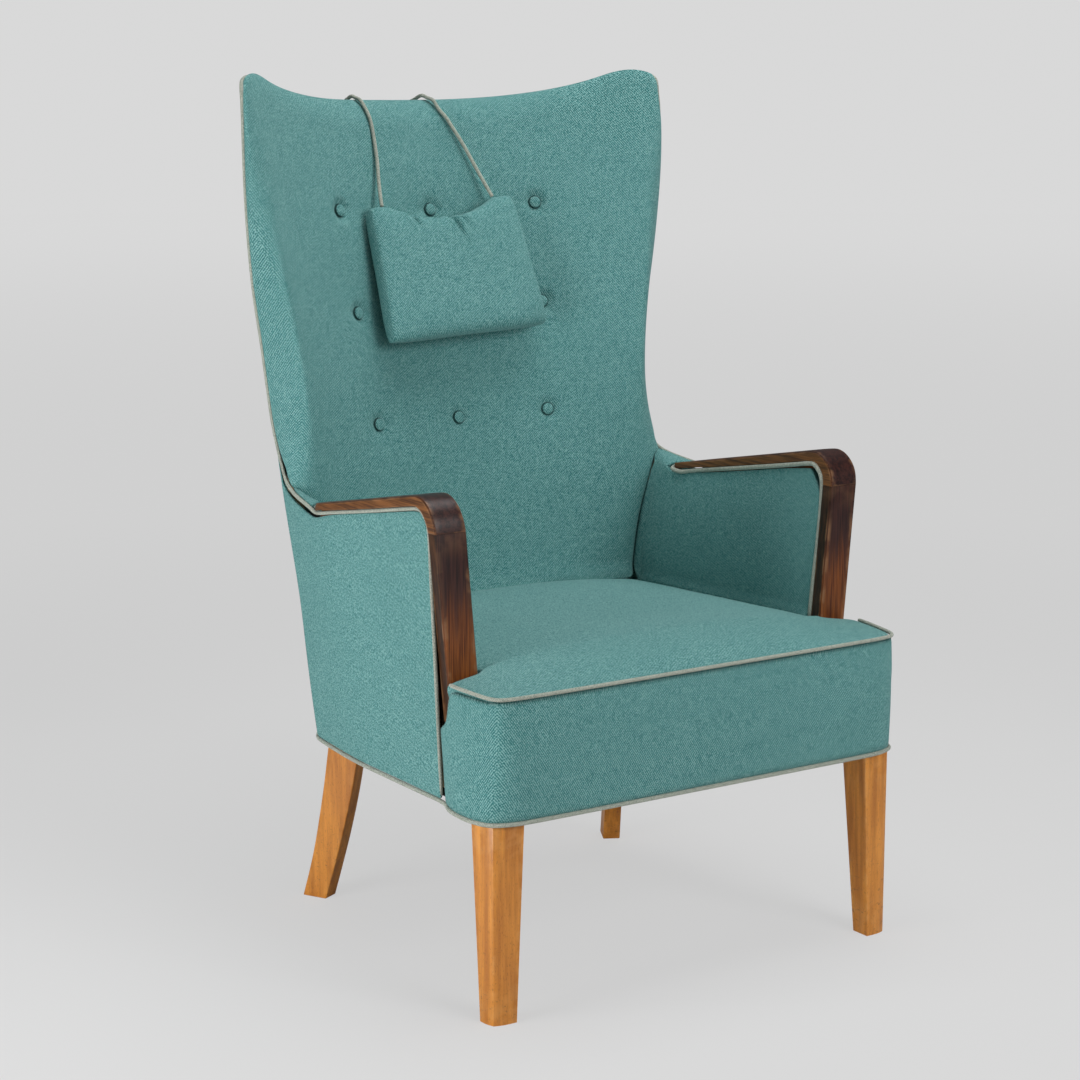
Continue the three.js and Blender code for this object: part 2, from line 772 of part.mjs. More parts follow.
function outsidePanelEdge() {
  const lower = [0, 0.25, 0.55, 0.85, 1.1].map((share) => {
    const z = baseHeight + pipingLane + armRise * share;
    return point(sideEdge(z).x - softGap, 0, z);
  });
  const upper = sideStations().filter(({ onWing }) => onWing).map(({ edge, shoulder }) => {
    const inward = shoulder.clone().sub(edge).setY(0).normalize();
    return edge.clone().addScaledVector(inward, pipingLane * laneRoomShare ** 3);
  });
  return [...lower, ...upper];
}

function outsideBackPanel() {
  const grid = outsidePanelGrid();
  const half = grid[0].length - 1;
  const points = [];
  for (const row of grid) {
    for (let i = half; i >= -half; i -= 1) {
      const { x, z } = row[Math.abs(i)];
      points.push(point(Math.sign(i) * x, outsideSkin(x, z), z));
    }
  }
  const columns = 2 * half + 1;
  const cells = gridCells(grid.length, columns);
  const thickness = (p, place) => {
    const atSide = place % columns === 0 || place % columns === columns - 1;
    return atSide || place >= (grid.length - 1) * columns ? panelThickness * panelEdgeShare : panelThickness;
  };
  return thickSkin(points, sunk(points, cells, thickness), cells);
}

// Arm rail: stations from its rear end to the foot of its bend, as top and underside points
const armTopAt = (y) => {
  const bendTop = armBendHeight + armBendOuterRadius * Math.cos(armSlope);
  const bendDepth = armBendDepth + armBendOuterRadius * Math.sin(armSlope);
  return tabled([[bendDepth, bendTop], [armMidDepth, armMidHeight], [armEndDepth, armRearHeight]], 1, y);
};
const bendThickness = armBendOuterRadius - armBendInnerRadius;
const armThicknessAt = (y) => {
  const bendDepth = armBendDepth + armBendOuterRadius * Math.sin(armSlope);
  const rows = [[bendDepth, bendThickness], [armMidDepth, armMidThickness], [armEndDepth, armRearThickness]];
  return tabled(rows, 1, y);
};
const armUnderside = (y) => armTopAt(y) - armThicknessAt(y);

function armProfile(lower = 0) {
  const stations = [];
  const bendStart = armBendDepth + armBendOuterRadius * Math.sin(armSlope);
  for (const share of [0, 0.25, 0.5, 0.75, 1]) {
    const y = lerp(armShoulderDepth, bendStart, share);
    stations.push({ top: [y, armTopAt(y)], under: [y, armUnderside(y) - lower] });
  }
  const turns = 6;
  for (let i = 1; i <= turns; i += 1) {
    const angle = lerp(Math.PI / 2 - armSlope, Math.PI, i / turns);
    const inner = armBendInnerRadius - lower;
    const innerDepth = armBendDepth + armBendInnerShift;
    const [cos, sin] = [Math.cos(angle), Math.sin(angle)];
    stations.push({
      top: [armBendDepth + armBendOuterRadius * cos, armBendHeight + armBendOuterRadius * sin],
      under: [innerDepth + inner * cos, armBendHeight + inner * sin],
    });
  }
  return stations;
}

// Inner face of the arm: upright under the seat, then leaning out up to the rail
const armInnerAt = (z) => {
  const share = clamp((z - seatBackHeight) / (armRearHeight - seatBackHeight), 0, 1);
  return lerp(armInnerFootHalfWidth, armInnerHalfWidth, share);
};
const postInnerAt = (z) => armInnerHalfWidth + postFlare + (z - armBendHeight) * postLean;

function armRing([topY, topZ], [underY, underZ]) {
  const lean = Math.min(topZ - armBendHeight, armBendOuterRadius / 2) * postLean;
  const inner = armInnerHalfWidth + postFlare + lean;
  const outer = inner + armWidth;
  const across = new THREE.Vector2(topY - underY, topZ - underZ).normalize().multiplyScalar(armEasing);
  const [easedY, easedZ] = [topY - across.x, topZ - across.y];
  return [
    point(inner, underY, underZ), point(outer, underY, underZ), point(outer, easedY, easedZ),
    point(outer - armEasing, topY, topZ), point(inner + armEasing, topY, topZ), point(inner, easedY, easedZ),
  ];
}

function armRail() {
  const rings = [];
  for (const [share, widthShare] of [[1, 0.14], [0.7, 0.42], [0.3, 0.8]]) {
    const y = lerp(armShoulderDepth, armEndDepth, share);
    const ring = armRing([y, armTopAt(y)], [y, armUnderside(y)]);
    const inner = ring[0].x;
    ring.forEach((p) => { p.x = inner + (p.x - inner) * widthShare; });
    rings.push(ring);
  }
  armProfile().forEach(({ top, under }) => rings.push(armRing(top, under)));
  return joined(loft(rings), armRailCore());
}

// Hidden rebated part of the rail, between the covers of the arm, with a tongue back to the wing post
function armRailCore() {
  const section = (y, top) => {
    const narrowed = smoothstep(y, armShoulderDepth, armCoreEnd);
    const x0 = armInnerHalfWidth + armCoreInset - armTongueShift * narrowed;
    const x1 = x0 + lerp(armCoreWidth, armTongueWidth, narrowed) - softGap;
    const foot = armUnderside(Math.min(y, armEndDepth)) - armCoreDepth;
    return [point(x0, y, foot), point(x1, y, foot), point(x1, y, top), point(x0, y, top)];
  };
  const insideRail = (y) => armUnderside(y) + armRearThickness / 2;
  const shoulderDepths = [armCoreRear + seatGap, armMidDepth, armCoreShoulder];
  const shoulders = shoulderDepths.map((y) => section(y, insideRail(y)));
  const tongueTop = armUnderside(armEndDepth) - armPadThickness;
  const tongueDepths = [armCoreShoulder + armRearThickness, armEndDepth, armCoreEnd];
  const tongue = tongueDepths.map((y) => section(y, tongueTop));
  return loft([...shoulders, ...tongue]);
}

const postFront = armBendDepth - armBendOuterRadius;
const postRear = armBendDepth + armBendInnerShift - armBendInnerRadius;
const armCoreRear = postRear + armCoreDepth;
function armPost() {
  const face = loft([postTipHeight, armBendHeight - seatGap].map((z) => {
    const inner = postInnerAt(z);
    const outer = inner + armWidth;
    return [
      point(inner, postRear, z),
      point(inner, postFront + armEasing, z),
      point(inner + armEasing, postFront, z),
      point(outer - armEasing, postFront, z),
      point(outer, postFront + armEasing, z),
      point(outer, postRear, z),
    ];
  }));
  const core = timber([railHeight + seatGap, armBendHeight - seatGap].map((z) => {
    const x0 = postInnerAt(z) - postFlare + armCoreInset;
    return [z, x0, x0 + armCoreWidth, postRear - softGap, armCoreRear];
  }));
  return joined(face, core);
}

// Covers of the arm begin two piping lanes from the show-wood
const coverFront = postRear + 2 * pipingLane;

// Inside of the arm: the padded face, and behind the rail the part that rolls over the top of the arm
const faceColumnShares = [0, 0.06, 0.2, 0.36, 0.52, 0.68, 0.8, 0.882, 0.918, 0.96, 1];
const overColumn = 8;
const armPadThinShare = 0.4;
const faceRows = 6;
const overRows = 3;
function insideArmPad() {
  const foot = seatBackHeight - padFootDrop;
  const columns = faceColumnShares.length;
  const points = [];
  for (let j = 0; j <= faceRows + overRows; j += 1) {
    faceColumnShares.forEach((share, i) => {
      const behindRail = i >= overColumn;
      const topDepth = lerp(coverFront, armSeamTopDepth, share);
      const underRail = armUnderside(Math.max(topDepth, armBendDepth + armBendInnerShift));
      const railTop = (i === 0 ? armBendHeight : underRail) - pipingLane * 2 * laneRoomShare;
      const top = (behindRail ? armRearHeight - pipingLane * 2 : railTop) - (i === 1 ? armEasing : 0);
      const z = lerp(foot, top, Math.min(j / faceRows, 1));
      const thin = armInnerAt(z) + armPadThickness;
      const beforeRear = outsideSkin(thin, z) - panelThickness - frameClearance;
      const rearEnd = Math.min(creaseDepth(z) - creaseGap, beforeRear);
      const y = lerp(coverFront, rearEnd, share);
      const atEdge = i === columns - 1 || i === 0 || (j === faceRows && !behindRail);
      const p = point(armInnerAt(z) + (atEdge ? armPadEasing : 0), y, z);
      const over = Math.max(j - faceRows, 0) / overRows;
      const along = Math.max(i - overColumn, 0) / (columns - 1 - overColumn);
      p.lerp(armOverEnd(along), over);
      p.z += armOverRise * Math.sin(over * Math.PI);
      points.push(p);
    });
  }
  const cells = gridCells(faceRows + overRows + 1, columns, (j, i) => j < faceRows || i >= overColumn);
  const thickness = (p, place) => -armPadThickness * (place % columns < columns - 2 ? 1 : armPadThinShare);
  const overStart = (faceRows + 1) * columns;
  const thinned = sunk(points, cells, thickness).map((p, place) => {
    const { z } = points[place];
    if (place < overStart) return p.setZ(Math.min(p.z, z));
    return points[place].clone().setZ(z - armPadThickness / 2);
  });
  return thickSkin(points, thinned, cells);
}

const overLineShare = 0.26;
const overLineEndShare = 0.69;
// The rolled-over cover ends beside the outer piping, from behind the rail to the wing
const outerLineShares = [
  [0.932, 0.9882],
  [0.958, 0.9923],
  [0.985, 0.9965],
  [1.043, 1.0026],
  [1.095, 1.0087],
  [1.143, 1.0191],
  [1.171, 1.0313],
  [1.198, 1.0574],
];
const outerLinePoints = () => outerLineShares.map(([deep, high]) => {
  const [y, z] = [armEndDepth * deep, armRearHeight * high];
  return point(sideSkin(y, z) - coverEdgeThickness, y, z);
});
const armOverEnd = (along) => {
  const line = smoothCurve(outerLinePoints());
  const p = line.getPoint(lerp(overLineShare, overLineEndShare, along));
  p.x -= pipingLane;
  p.z += pipingLane / 2;
  return p;
};

// Outside of the arm: one cover over the whole side, below the rail and the wing
const sideRearDepth = (z) => sideEdge(z).y - pipingLane / 2;
const sideColumnShares = [0, 0.02, 0.045, 0.09, 0.25, 0.45, 0.6, 0.68, 0.74, 0.82, 0.88, 0.93, 0.965, 1];
const sideRowShares = [0, 0.25, 0.5, 0.75, 0.9, 1];
function sideTopHeight(y) {
  const bend = coverFront - (armBendDepth + armBendInnerShift);
  const across = clamp((y - armBendDepth - armBendInnerShift) / bend, 0, 1);
  const bendTop = armBendHeight - bend * Math.sqrt(1 - across * across);
  const pipingLine = [...outerLinePoints(), point(0, sideEdge(junctionHeight).y, junctionHeight)];
  const line = pipingLine.map((p, i) => {
    const [from, to] = [pipingLine[Math.max(i - 1, 0)], pipingLine[Math.min(i + 1, pipingLine.length - 1)]];
    return [p.y, p.z - pipingLane * sideTopLaneShare * Math.hypot(1, (to.z - from.z) / (to.y - from.y))];
  });
  if (y < armBendDepth + armBendInnerShift) return bendTop;
  if (y < line[0][0]) {
    const sloping = bendTop + (y - armBendDepth) * Math.tan(armSlope);
    return Math.min(armUnderside(y) - 2 * pipingLane, sloping);
  }
  return tabled(line, 1, y);
}
function outsideArmPanel() {
  const foot = baseHeight + pipingLane;
  const topRear = sideRearDepth(junctionHeight);
  const points = [];
  for (const v of sideRowShares) {
    for (const u of sideColumnShares) {
      const topY = lerp(coverFront, topRear, u);
      const z = lerp(foot, sideTopHeight(topY), v);
      const straight = lerp(lerp(coverFront, sideRearDepth(foot), u), topY, v);
      const bow = u * (sideRearDepth(z) - lerp(sideRearDepth(foot), topRear, v));
      const y = v < 1 || u === 1 ? straight + bow : straight;
      points.push(point(sideSkin(y, z), y, z));
    }
  }
  const cells = gridCells(sideRowShares.length, sideColumnShares.length);
  return thickSkin(points, sunk(points, cells, () => panelThickness), cells);
}

// Outline of the seat box, for the right half: across and deep, at its foot and under the seat piping
const boxFootShares = [
  [0, 0], [0.25, 0], [0.47, 0], [0.66, 0.002], [0.845, 0.008], [0.9, 0.028], [0.945, 0.07],
  [0.978, 0.13], [0.998, 0.23], [1.012, 0.42], [1.01, 0.62], [1, 0.8], [0.967, 1],
];
const boxTopShares = [
  [0, 0], [0.25, 0], [0.47, 0], [0.66, 0.002], [0.845, 0.011], [0.9, 0.025], [0.937, 0.05],
  [0.96, 0.105], [0.974, 0.2], [0.985, 0.42], [0.992, 0.62], [0.998, 0.8], [1, 1],
];
const boxRearAt = (z) => {
  const tip = postTipHeight;
  return tabled([
    [baseHeight, borderRearDepth], [tip - borderTipDrop, borderRearDepth],
    [tip + borderTipDrop, postFront - borderTipDrop], [seatEdgeHeight, borderTopRearDepth],
  ], 1, z);
};
function boxOutline(z) {
  const rise = clamp((z - baseHeight) / (seatEdgeHeight - baseHeight), 0, 1);
  return boxFootShares.map(([across, deep], i) => point(
    seatFrontHalfWidth * lerp(across, boxTopShares[i][0], rise),
    boxRearAt(z) * lerp(deep, boxTopShares[i][1], rise),
    z,
  ));
}
function rightToLeft(half) {
  const mirrored = half.filter(({ x }) => x > 0).map((p) => point(-p.x, p.y, p.z));
  return [...half.slice().reverse(), ...mirrored];
}

const borderRowShares = [0, 0.22, 0.45, 0.63, 0.69, 0.82, 1];
function frontBorder() {
  const [foot, top] = [baseHeight + pipingLane, seatEdgeHeight - pipingLane];
  const rows = borderRowShares.map((share) => {
    const row = rightToLeft(boxOutline(lerp(foot, top, share)));
    const bulge = borderBulge * Math.sin(share * Math.PI);
    return row.map((p) => p.setY(p.y - bulge * (1 - Math.min(p.y / borderCornerRadius, 1))));
  });
  const columns = rows[0].length;
  const points = rows.flat();
  const cells = gridCells(rows.length, columns);
  const lipFoot = borderRowShares[3];
  const rowShare = (place) => borderRowShares[Math.floor(place / columns)];
  const lip = (place) => Math.max(rowShare(place) - lipFoot, 0) / (1 - lipFoot);
  const sunkPoints = sunk(points, cells, () => -borderThickness);
  const inner = sunkPoints.map((p, place) => p.setZ(p.z - borderLipDrop * lip(place)));
  return thickSkin(points, inner, cells);
}

// Crowned seat: two ears in front of the arms and a body between them
const seatColumnShares = [0, 0.2, 0.4, 0.6, 0.78, 0.92, 1];
const earColumnShares = [0.25, 0.6, 0.88, 1];
const earRowShares = [0, 0.08, 0.22, 0.45, 0.72, 0.92, 1];
const bodyRowShares = [0, 0.1, 0.24, 0.4, 0.58, 0.76, 0.9, 0.97, 1];
function seatTopHeight(x, y) {
  const rise = 1 - (1 - Math.min(y / seatCrownDepth, 1)) ** seatRiseSharpness;
  const fall = seatSideFall * (Math.abs(x) / seatHalfWidth) ** seatSideSharpness;
  const crown = seatCrownHeight - seatEdgeHeight - fall;
  return seatEdgeHeight + rise * crown - Math.max(y - seatCrownDepth, 0) * seatRearFallShare;
}

function seatPad() {
  const outline = boxOutline(seatEdgeHeight).map(({ x, y }) => [x, y]);
  const byDepth = outline.slice(5).map(([x, y]) => [y, x]);
  const sideAt = (y) => tabled(byDepth, 1, y) - pipingLane;
  const frontAt = (x) => tabled(outline, 1, x) + pipingLane;
  const earRear = postFront - pipingLane;
  const bodyFront = postFront + softGap;
  const rearAt = (z) => backFootDepth + (z - seatBackHeight) * Math.tan(backRake) - 3 * softGap;
  const onBody = seatColumnShares.map((share) => ({ share, ear: 0 }));
  const half = [...onBody, ...earColumnShares.map((ear) => ({ share: 1, ear }))];
  const leftHalf = half.slice(1).reverse().map((column) => ({ ...column, sign: -1 }));
  const acrossAll = [...leftHalf, ...half.map((column) => ({ ...column, sign: 1 }))];
  const rows = [
    ...earRowShares.map((share) => ({ share, body: 0 })),
    ...bodyRowShares.map((body) => ({ share: 1, body: 1, deep: body })),
  ];
  const [top, foot] = [[], []];
  rows.forEach((row, j) => acrossAll.forEach(({ share, ear, sign }) => {
    const frontY = frontAt(share * seatHalfWidth + ear * (seatFrontHalfWidth - seatHalfWidth) * 0.8);
    const rearTop = seatTopHeight(share * seatHalfWidth, backFootDepth) - seatRimDrop;
    const y = row.body ? lerp(bodyFront, rearAt(rearTop), row.deep) : lerp(frontY, earRear, row.share);
    const edge = sideAt(y);
    const x = seatHalfWidth * share + (edge - seatHalfWidth) * ear;
    const rim = Math.max(
      ear === 0 && share === 1 && row.body ? 1 : 0,
      j === rows.length - 1 || (j === earRowShares.length - 1 && ear > 0) ? 1 : 0,
    );
    top.push(point(sign * x, y, seatTopHeight(x, y) - seatRimDrop * rim - (ear === 1 ? pipingLane / 2 : 0)));
    const wallFoot = borderThickness + softGap;
    const footY = row.body
      ? lerp(bodyFront, rearAt(seatPadFoot), row.deep)
      : lerp(frontY + wallFoot, earRear, row.share);
    const besideArm = share === 1 && !ear ? softGap : 0;
    const footX = seatHalfWidth * share - besideArm + (edge - wallFoot - seatHalfWidth) * ear;
    foot.push(point(sign * footX, footY, seatPadFoot));
  }));
  const columns = acrossAll.length;
  const inBody = (i) => i >= earColumnShares.length && i < columns - 1 - earColumnShares.length;
  const cells = gridCells(rows.length, columns, (j, i) => j < earRowShares.length - 1 || inBody(i));
  return thickSkin(top, foot, cells);
}

// Legs
function frontLeg() {
  const corner = (x1, y0, radius, z) => [0, 0.5, 1].map((share) => {
    const angle = (share - 1) * (Math.PI / 2);
    return point(x1 - radius + radius * Math.cos(angle), y0 + radius + radius * Math.sin(angle), z);
  });
  const outer = frontLegInset + legTopSize - legRimInset;
  const section = (z, x0, y0, y1) => [
    point(x0, y0, z), ...corner(outer, y0, frontLegCornerRadius, z), point(outer, y1, z), point(x0, y1, z),
  ];
  const shank = loft([
    section(0, frontFootInset, frontLegDepth, frontLegDepth + frontFootLength),
    section(legShoulderHeight, frontLegInset, frontLegDepth, frontLegDepth + legTopSize - legRimInset),
  ]);
  const core = block(
    frontLegInset, frontLegInset + legCoreWidth,
    frontLegDepth + legTopSize - legRimInset - legCoreLength, frontLegDepth + legTopSize - legRimInset,
    legShoulderHeight - legRimInset, railHeight,
  );
  return joined(shank, core);
}

// Height, rear and front edge of the broad face, and thickness, as shares of rail height, leg width and
// leg thickness
const rearLegShares = [
  [0, -0.75, 0, 1],
  [0.175, -0.41, 0.358, 0.97],
  [0.305, -0.235, 0.61, 0.95],
  [0.495, 0, 0.93, 0.9],
  [0.65, 0.138, 1.12, 0.86],
  [0.76, 0.26, 1.2, 0.85],
  [1, 0.3, 1.2, 0.85],
];
function rearLeg() {
  const broad = point(-Math.sin(rearLegTurn), -Math.cos(rearLegTurn), 0);
  const narrow = point(-Math.cos(rearLegTurn), Math.sin(rearLegTurn), 0);
  return loft(rearLegShares.map(([high, rear, front, thick]) => {
    const corner = (along, across) => point(rearFootHalfWidth, rearFootFront, high * railHeight)
      .addScaledVector(broad, along * rearLegWidth)
      .addScaledVector(narrow, across * rearLegThickness);
    return [corner(rear, 0), corner(front, 0), corner(front, thick), corner(rear, thick)];
  }));
}

// Seat frame
function frontRail() {
  const half = frontLegInset - seatGap;
  const front = borderThickness + softGap;
  return block(-half, half, front, front + railThickness, railFoot, railHeight);
}
const legCoreRear = frontLegDepth + legTopSize - legRimInset;
function sideRail() {
  const [inner, outer] = [sideRailInnerHalfWidth, sideRailInnerHalfWidth + sideRailThickness];
  return block(inner, outer, legCoreRear + seatGap, rearRailFront - seatGap, railFoot, railHeight);
}
const seatRailRear = rearRailFront + railThickness;
function backSeatRail() {
  return block(-rearRailHalfWidth, rearRailHalfWidth, rearRailFront, seatRailRear, railFoot, railHeight);
}

function prism(outline, z0, z1) {
  return loft([z0, z1].map((z) => outline.map(([x, y]) => point(x, y, z))));
}
const blockInset = softGap * 4;
function frontCornerBlock() {
  const railRear = borderThickness + softGap + railThickness + seatGap;
  const legSide = frontLegInset - seatGap;
  return prism([
    [legSide - cornerBlockSize, railRear], [legSide, railRear], [legSide, legCoreRear + seatGap],
    [sideRailInnerHalfWidth - seatGap, legCoreRear + seatGap],
    [sideRailInnerHalfWidth - seatGap, legCoreRear + cornerBlockSize],
  ], railFoot + blockInset, railHeight - blockInset);
}
function rearCornerBlock() {
  const [side, rear] = [sideRailInnerHalfWidth - seatGap, rearRailFront - seatGap];
  return prism([
    [side - cornerBlockSize, rear], [side, rear], [side, rear - cornerBlockSize],
  ], railFoot + blockInset, railHeight - blockInset);
}

// Back frame: every timber lies between the pad of the back and its outside panel
const behindPad = (x, z) => {
  const room = padThicknessAt(x, z) + frameClearance;
  return insideSkin(x, z) + room * slantOf(insideSkin, x, z);
};
const beforePanel = (x, z) => {
  const room = panelThickness + frameClearance;
  return outsideSkin(x, z) - room * slantOf(outsideSkin, x, z);
};

function backPost() {
  const [inner, outer] = [backPostInset, backPostInset + timberWidth];
  const seated = seatRailRear + postJog;
  const behindPadFoot = behindPad(backPostInset, backPostKneeHeight);
  const low = [
    [railHeight + seatGap, seated, seated + timberWidth],
    [backPostKneeHeight, behindPadFoot, behindPadFoot + timberWidth - blockInset],
  ].map(([z, y0, y1]) => [z, inner, outer, y0, y1]);
  const high = [0.04, 0.25, 0.45, 0.65, 0.85, 1].map((share) => {
    const z = lerp(backPostKneeHeight, topRailFoot - seatGap, share);
    return [z, inner, outer, behindPad(inner, z), beforePanel(outer, z)];
  });
  return timber([...low, ...high]);
}

// Height, inner and outer half width, front and rear depth, as shares of the rise from rail to arm and
// of the wing
const wingPostShares = [
  [0, 0.819, 0.8665, 0.7016, 0.7574],
  [0.488, 0.84, 0.878, 0.82, 0.872],
  [0.693, 0.849, 0.881, 0.852, 0.896],
  [0.8775, 0.849, 0.881, 0.899, 0.921],
  [0.9787, 0.831, 0.878, 0.905, 0.942],
  [1.1012, 0.801, 0.852, 0.953, 0.972],
];
function wingPost() {
  const low = wingPostShares.map(([high, inner, outer, front, rear]) => {
    const z = lerp(railHeight + seatGap, armRearHeight, high);
    const [x0, x1] = [inner * wingHalfWidth, outer * wingHalfWidth];
    const [y0, y1] = [front * wingDepth, rear * wingDepth];
    return [point(x0, y0, z), point(x1, y0, z), point(x1, y1, z), point(x0, y1, z)];
  });
  const high = [0, 0.25, 0.5, 0.75, 1].map((share) => {
    const z = lerp(wingPostKneeHeight, topRailFoot - seatGap, share);
    const x1 = sideEdge(z).x - wingPostInset;
    const x0 = x1 - timberWidth * wingPostWidthShare;
    return [
      point(x0, behindPad(x0, z), z), point(x1, behindPad(x1, z), z),
      point(x1, beforePanel(x1, z), z), point(x0, beforePanel(x0, z), z),
    ];
  });
  return loft([...low, ...high]);
}

// A rail that follows the bow of the back
function bowedRail(half, foot, height, steps) {
  const rings = [];
  for (let i = 0; i <= steps; i += 1) {
    const x = lerp(-half, half, i / steps);
    const atFoot = [behindPad, beforePanel].map((skin) => point(x, skin(x, foot), foot));
    const atTop = [beforePanel, behindPad].map((skin) => point(x, skin(x, height), height));
    rings.push([...atFoot, ...atTop]);
  }
  return loft(rings);
}
const betweenPosts = backPostInset - seatGap;
const topRailHalf = wingHalfWidth - wingPostInset * 2;

// Webbing straps, woven into one lattice under the rails
function seatWebbing() {
  const lines = (centres, from, to) => [
    from, ...centres.flatMap((c) => [c - webbingWidth / 2, c + webbingWidth / 2]), to,
  ];
  const xs = lines([-springSpacingAcross, 0, springSpacingAcross], -webbingHalfSpan, webbingHalfSpan);
  const springDepths = [0, 1, 2].map((i) => springFirstDepth + i * springSpacingDeep);
  const ys = lines(springDepths, borderThickness + softGap * 2, seatRailRear - softGap);
  const z = railFoot - seatGap;
  const points = ys.flatMap((y) => xs.map((x) => point(x, y, z)));
  const strap = (place) => place % 2 === 1;
  const cells = gridCells(ys.length, xs.length, (j, i) => strap(i) || strap(j));
  return thickSkin(points, points.map((p) => point(p.x, p.y, z - webbingThickness)), cells);
}

// Hourglass spring, standing on the webbing and carrying the seat
function seatSpring(x, y) {
  const steps = Math.round(springTurns * springTurnSteps);
  const [low, high] = [railFoot + springWire, seatPadFoot - seatGap - springWire];
  const rings = [];
  for (let i = 0; i <= steps; i += 1) {
    const share = i / steps;
    const angle = share * springTurns * 2 * Math.PI;
    const waist = (2 * share - 1) ** 2;
    const radius = lerp(springWaistRadius, springRadius, waist);
    const out = point(Math.cos(angle), Math.sin(angle), 0);
    const centre = point(x, y, lerp(low, high, share)).addScaledVector(out, radius);
    rings.push([0, 1, 2, 3].map((k) => centre.clone()
      .addScaledVector(out, springWire * Math.cos((k * Math.PI) / 2))
      .add(point(0, 0, springWire * Math.sin((k * Math.PI) / 2)))));
  }
  return loft(rings);
}

// Thin black cloth tacked under the seat, cut out round the four legs
function dustCover() {
  const inset = pipingLane + softGap * 2;
  const frontHalf = frontLegInset - inset;
  const rearHalf = rearFootHalfWidth - rearLegWidth - inset;
  const sideAt = (y) => sideSkin(y, baseHeight) - inset * 2;
  const ys = [inset, legCoreRear + inset, seatRailRear - inset, seatRailRear + rearLegWidth - inset * 2];
  const z = baseHeight + pipingLane - seatGap;
  const points = ys.flatMap((y, j) => {
    const outer = j === 0 ? frontHalf + inset : sideAt(y);
    const half = [outer, frontHalf, rearHalf];
    return [...half.map((x) => -x), 0, ...half.slice().reverse()].map((x) => point(x, y, z));
  });
  const kept = (j, i) => j === 1 || (i > 0 && i < 5 && j === 0) || (i > 1 && i < 4);
  const cells = gridCells(ys.length, 7, kept);
  return thickSkin(points, points.map((p) => point(p.x, p.y, z - dustCoverThickness)), cells);
}

// Piping sewn along a line: rings at even shares of every span, turned with the line
function sewnPiping(points, spanSteps) {
  const line = smoothCurve(points);
  const count = (points.length - 1) * spanSteps;
  const rings = [];
  const side = point();
  for (let i = 0; i <= count; i += 1) {
    const centre = line.getPoint(i / count);
    const along = line.getTangent(i / count);
    if (i === 0) side.set(along.y, along.z, along.x).cross(along);
    side.addScaledVector(along, -side.dot(along)).normalize();
    const other = along.clone().cross(side);
    rings.push(Array.from({ length: pipingSides }, (_, k) => {
      const angle = (k / pipingSides) * 2 * Math.PI;
      return centre.clone()
        .addScaledVector(side, pipingRadius * Math.cos(angle))
        .addScaledVector(other, pipingRadius * Math.sin(angle));
    }));
  }
  return loft(rings);
}

function seatPiping() {
  const raised = (p) => p.setZ(seatEdgeHeight + (p.y / borderTopRearDepth) * pipingRadius);
  const line = boxOutline(seatEdgeHeight).map(raised);
  return sewnPiping(rightToLeft(line), 3);
}

function basePiping() {
  const box = boxOutline(baseHeight);
  const side = [0.15, 0.4, 0.65, 0.85, 0.96].map((share) => {
    const y = lerp(borderRearDepth, sideEdge(baseHeight).y, share);
    return point(sideSkin(y, baseHeight), y, baseHeight);
  });
  const rear = [0.99, 0.94, 0.85, 0.7, 0.5, 0.25, 0].map((share) => {
    const x = Math.max(share * sideEdge(baseHeight).x, seatGap);
    return point(x, outsideSkin(x, baseHeight), baseHeight);
  });
  return sewnPiping(rightToLeft([...box, ...side, ...rear]), 2);
}

// Outer piping, for the right half: up behind the post, round the bend, under the rail and up the wing
function backPiping() {
  const y = postRear + pipingLane;
  const foot = baseHeight + pipingLane * 2;
  const straight = [0, 0.3, 0.6, 0.9].map((share) => point(0, y, lerp(foot, armBendHeight, share)));
  const centre = armBendDepth + armBendInnerShift;
  const radius = armBendInnerRadius - pipingLane;
  const bend = [180, 150, 120, 100.5].map((degrees) => {
    const angle = THREE.MathUtils.degToRad(degrees);
    return point(0, centre + radius * Math.cos(angle), armBendHeight + radius * Math.sin(angle));
  });
  const under = [0.06, 0.3, 0.6, 0.88].map((share) => {
    const depth = lerp(centre, armShoulderDepth, share);
    return point(0, depth, armUnderside(depth) - pipingLane);
  });
  const lower = [...straight, ...bend, ...under].map((p) => p.setX(sideSkin(p.y, p.z)));
  const wing = sideStations().filter(({ onWing }) => onWing).map(({ edge }) => edge);
  const top = topStations().slice(0, -1).reverse().map(({ edge }) => edge);
  const parts = [top, wing, outerLinePoints(), lower].map((part) => part.reverse());
  return sewnPiping(rightToLeft(parts.flat()), 2);
}

// Inner piping round the rear end of the rail, from the rail's inner corner: across, deep and high
const armNoseShares = [
  [0.57, -0.31, 0.6],
  [0.35, -0.1, 0.5],
  [0.16, 0.075, 0.4],
  [0.02, 0.125, 0.2],
  [-0.085, 0.045, 0],
  [-0.08, -0.16, -0.15],
  [-0.035, -0.39, -0.25],
];
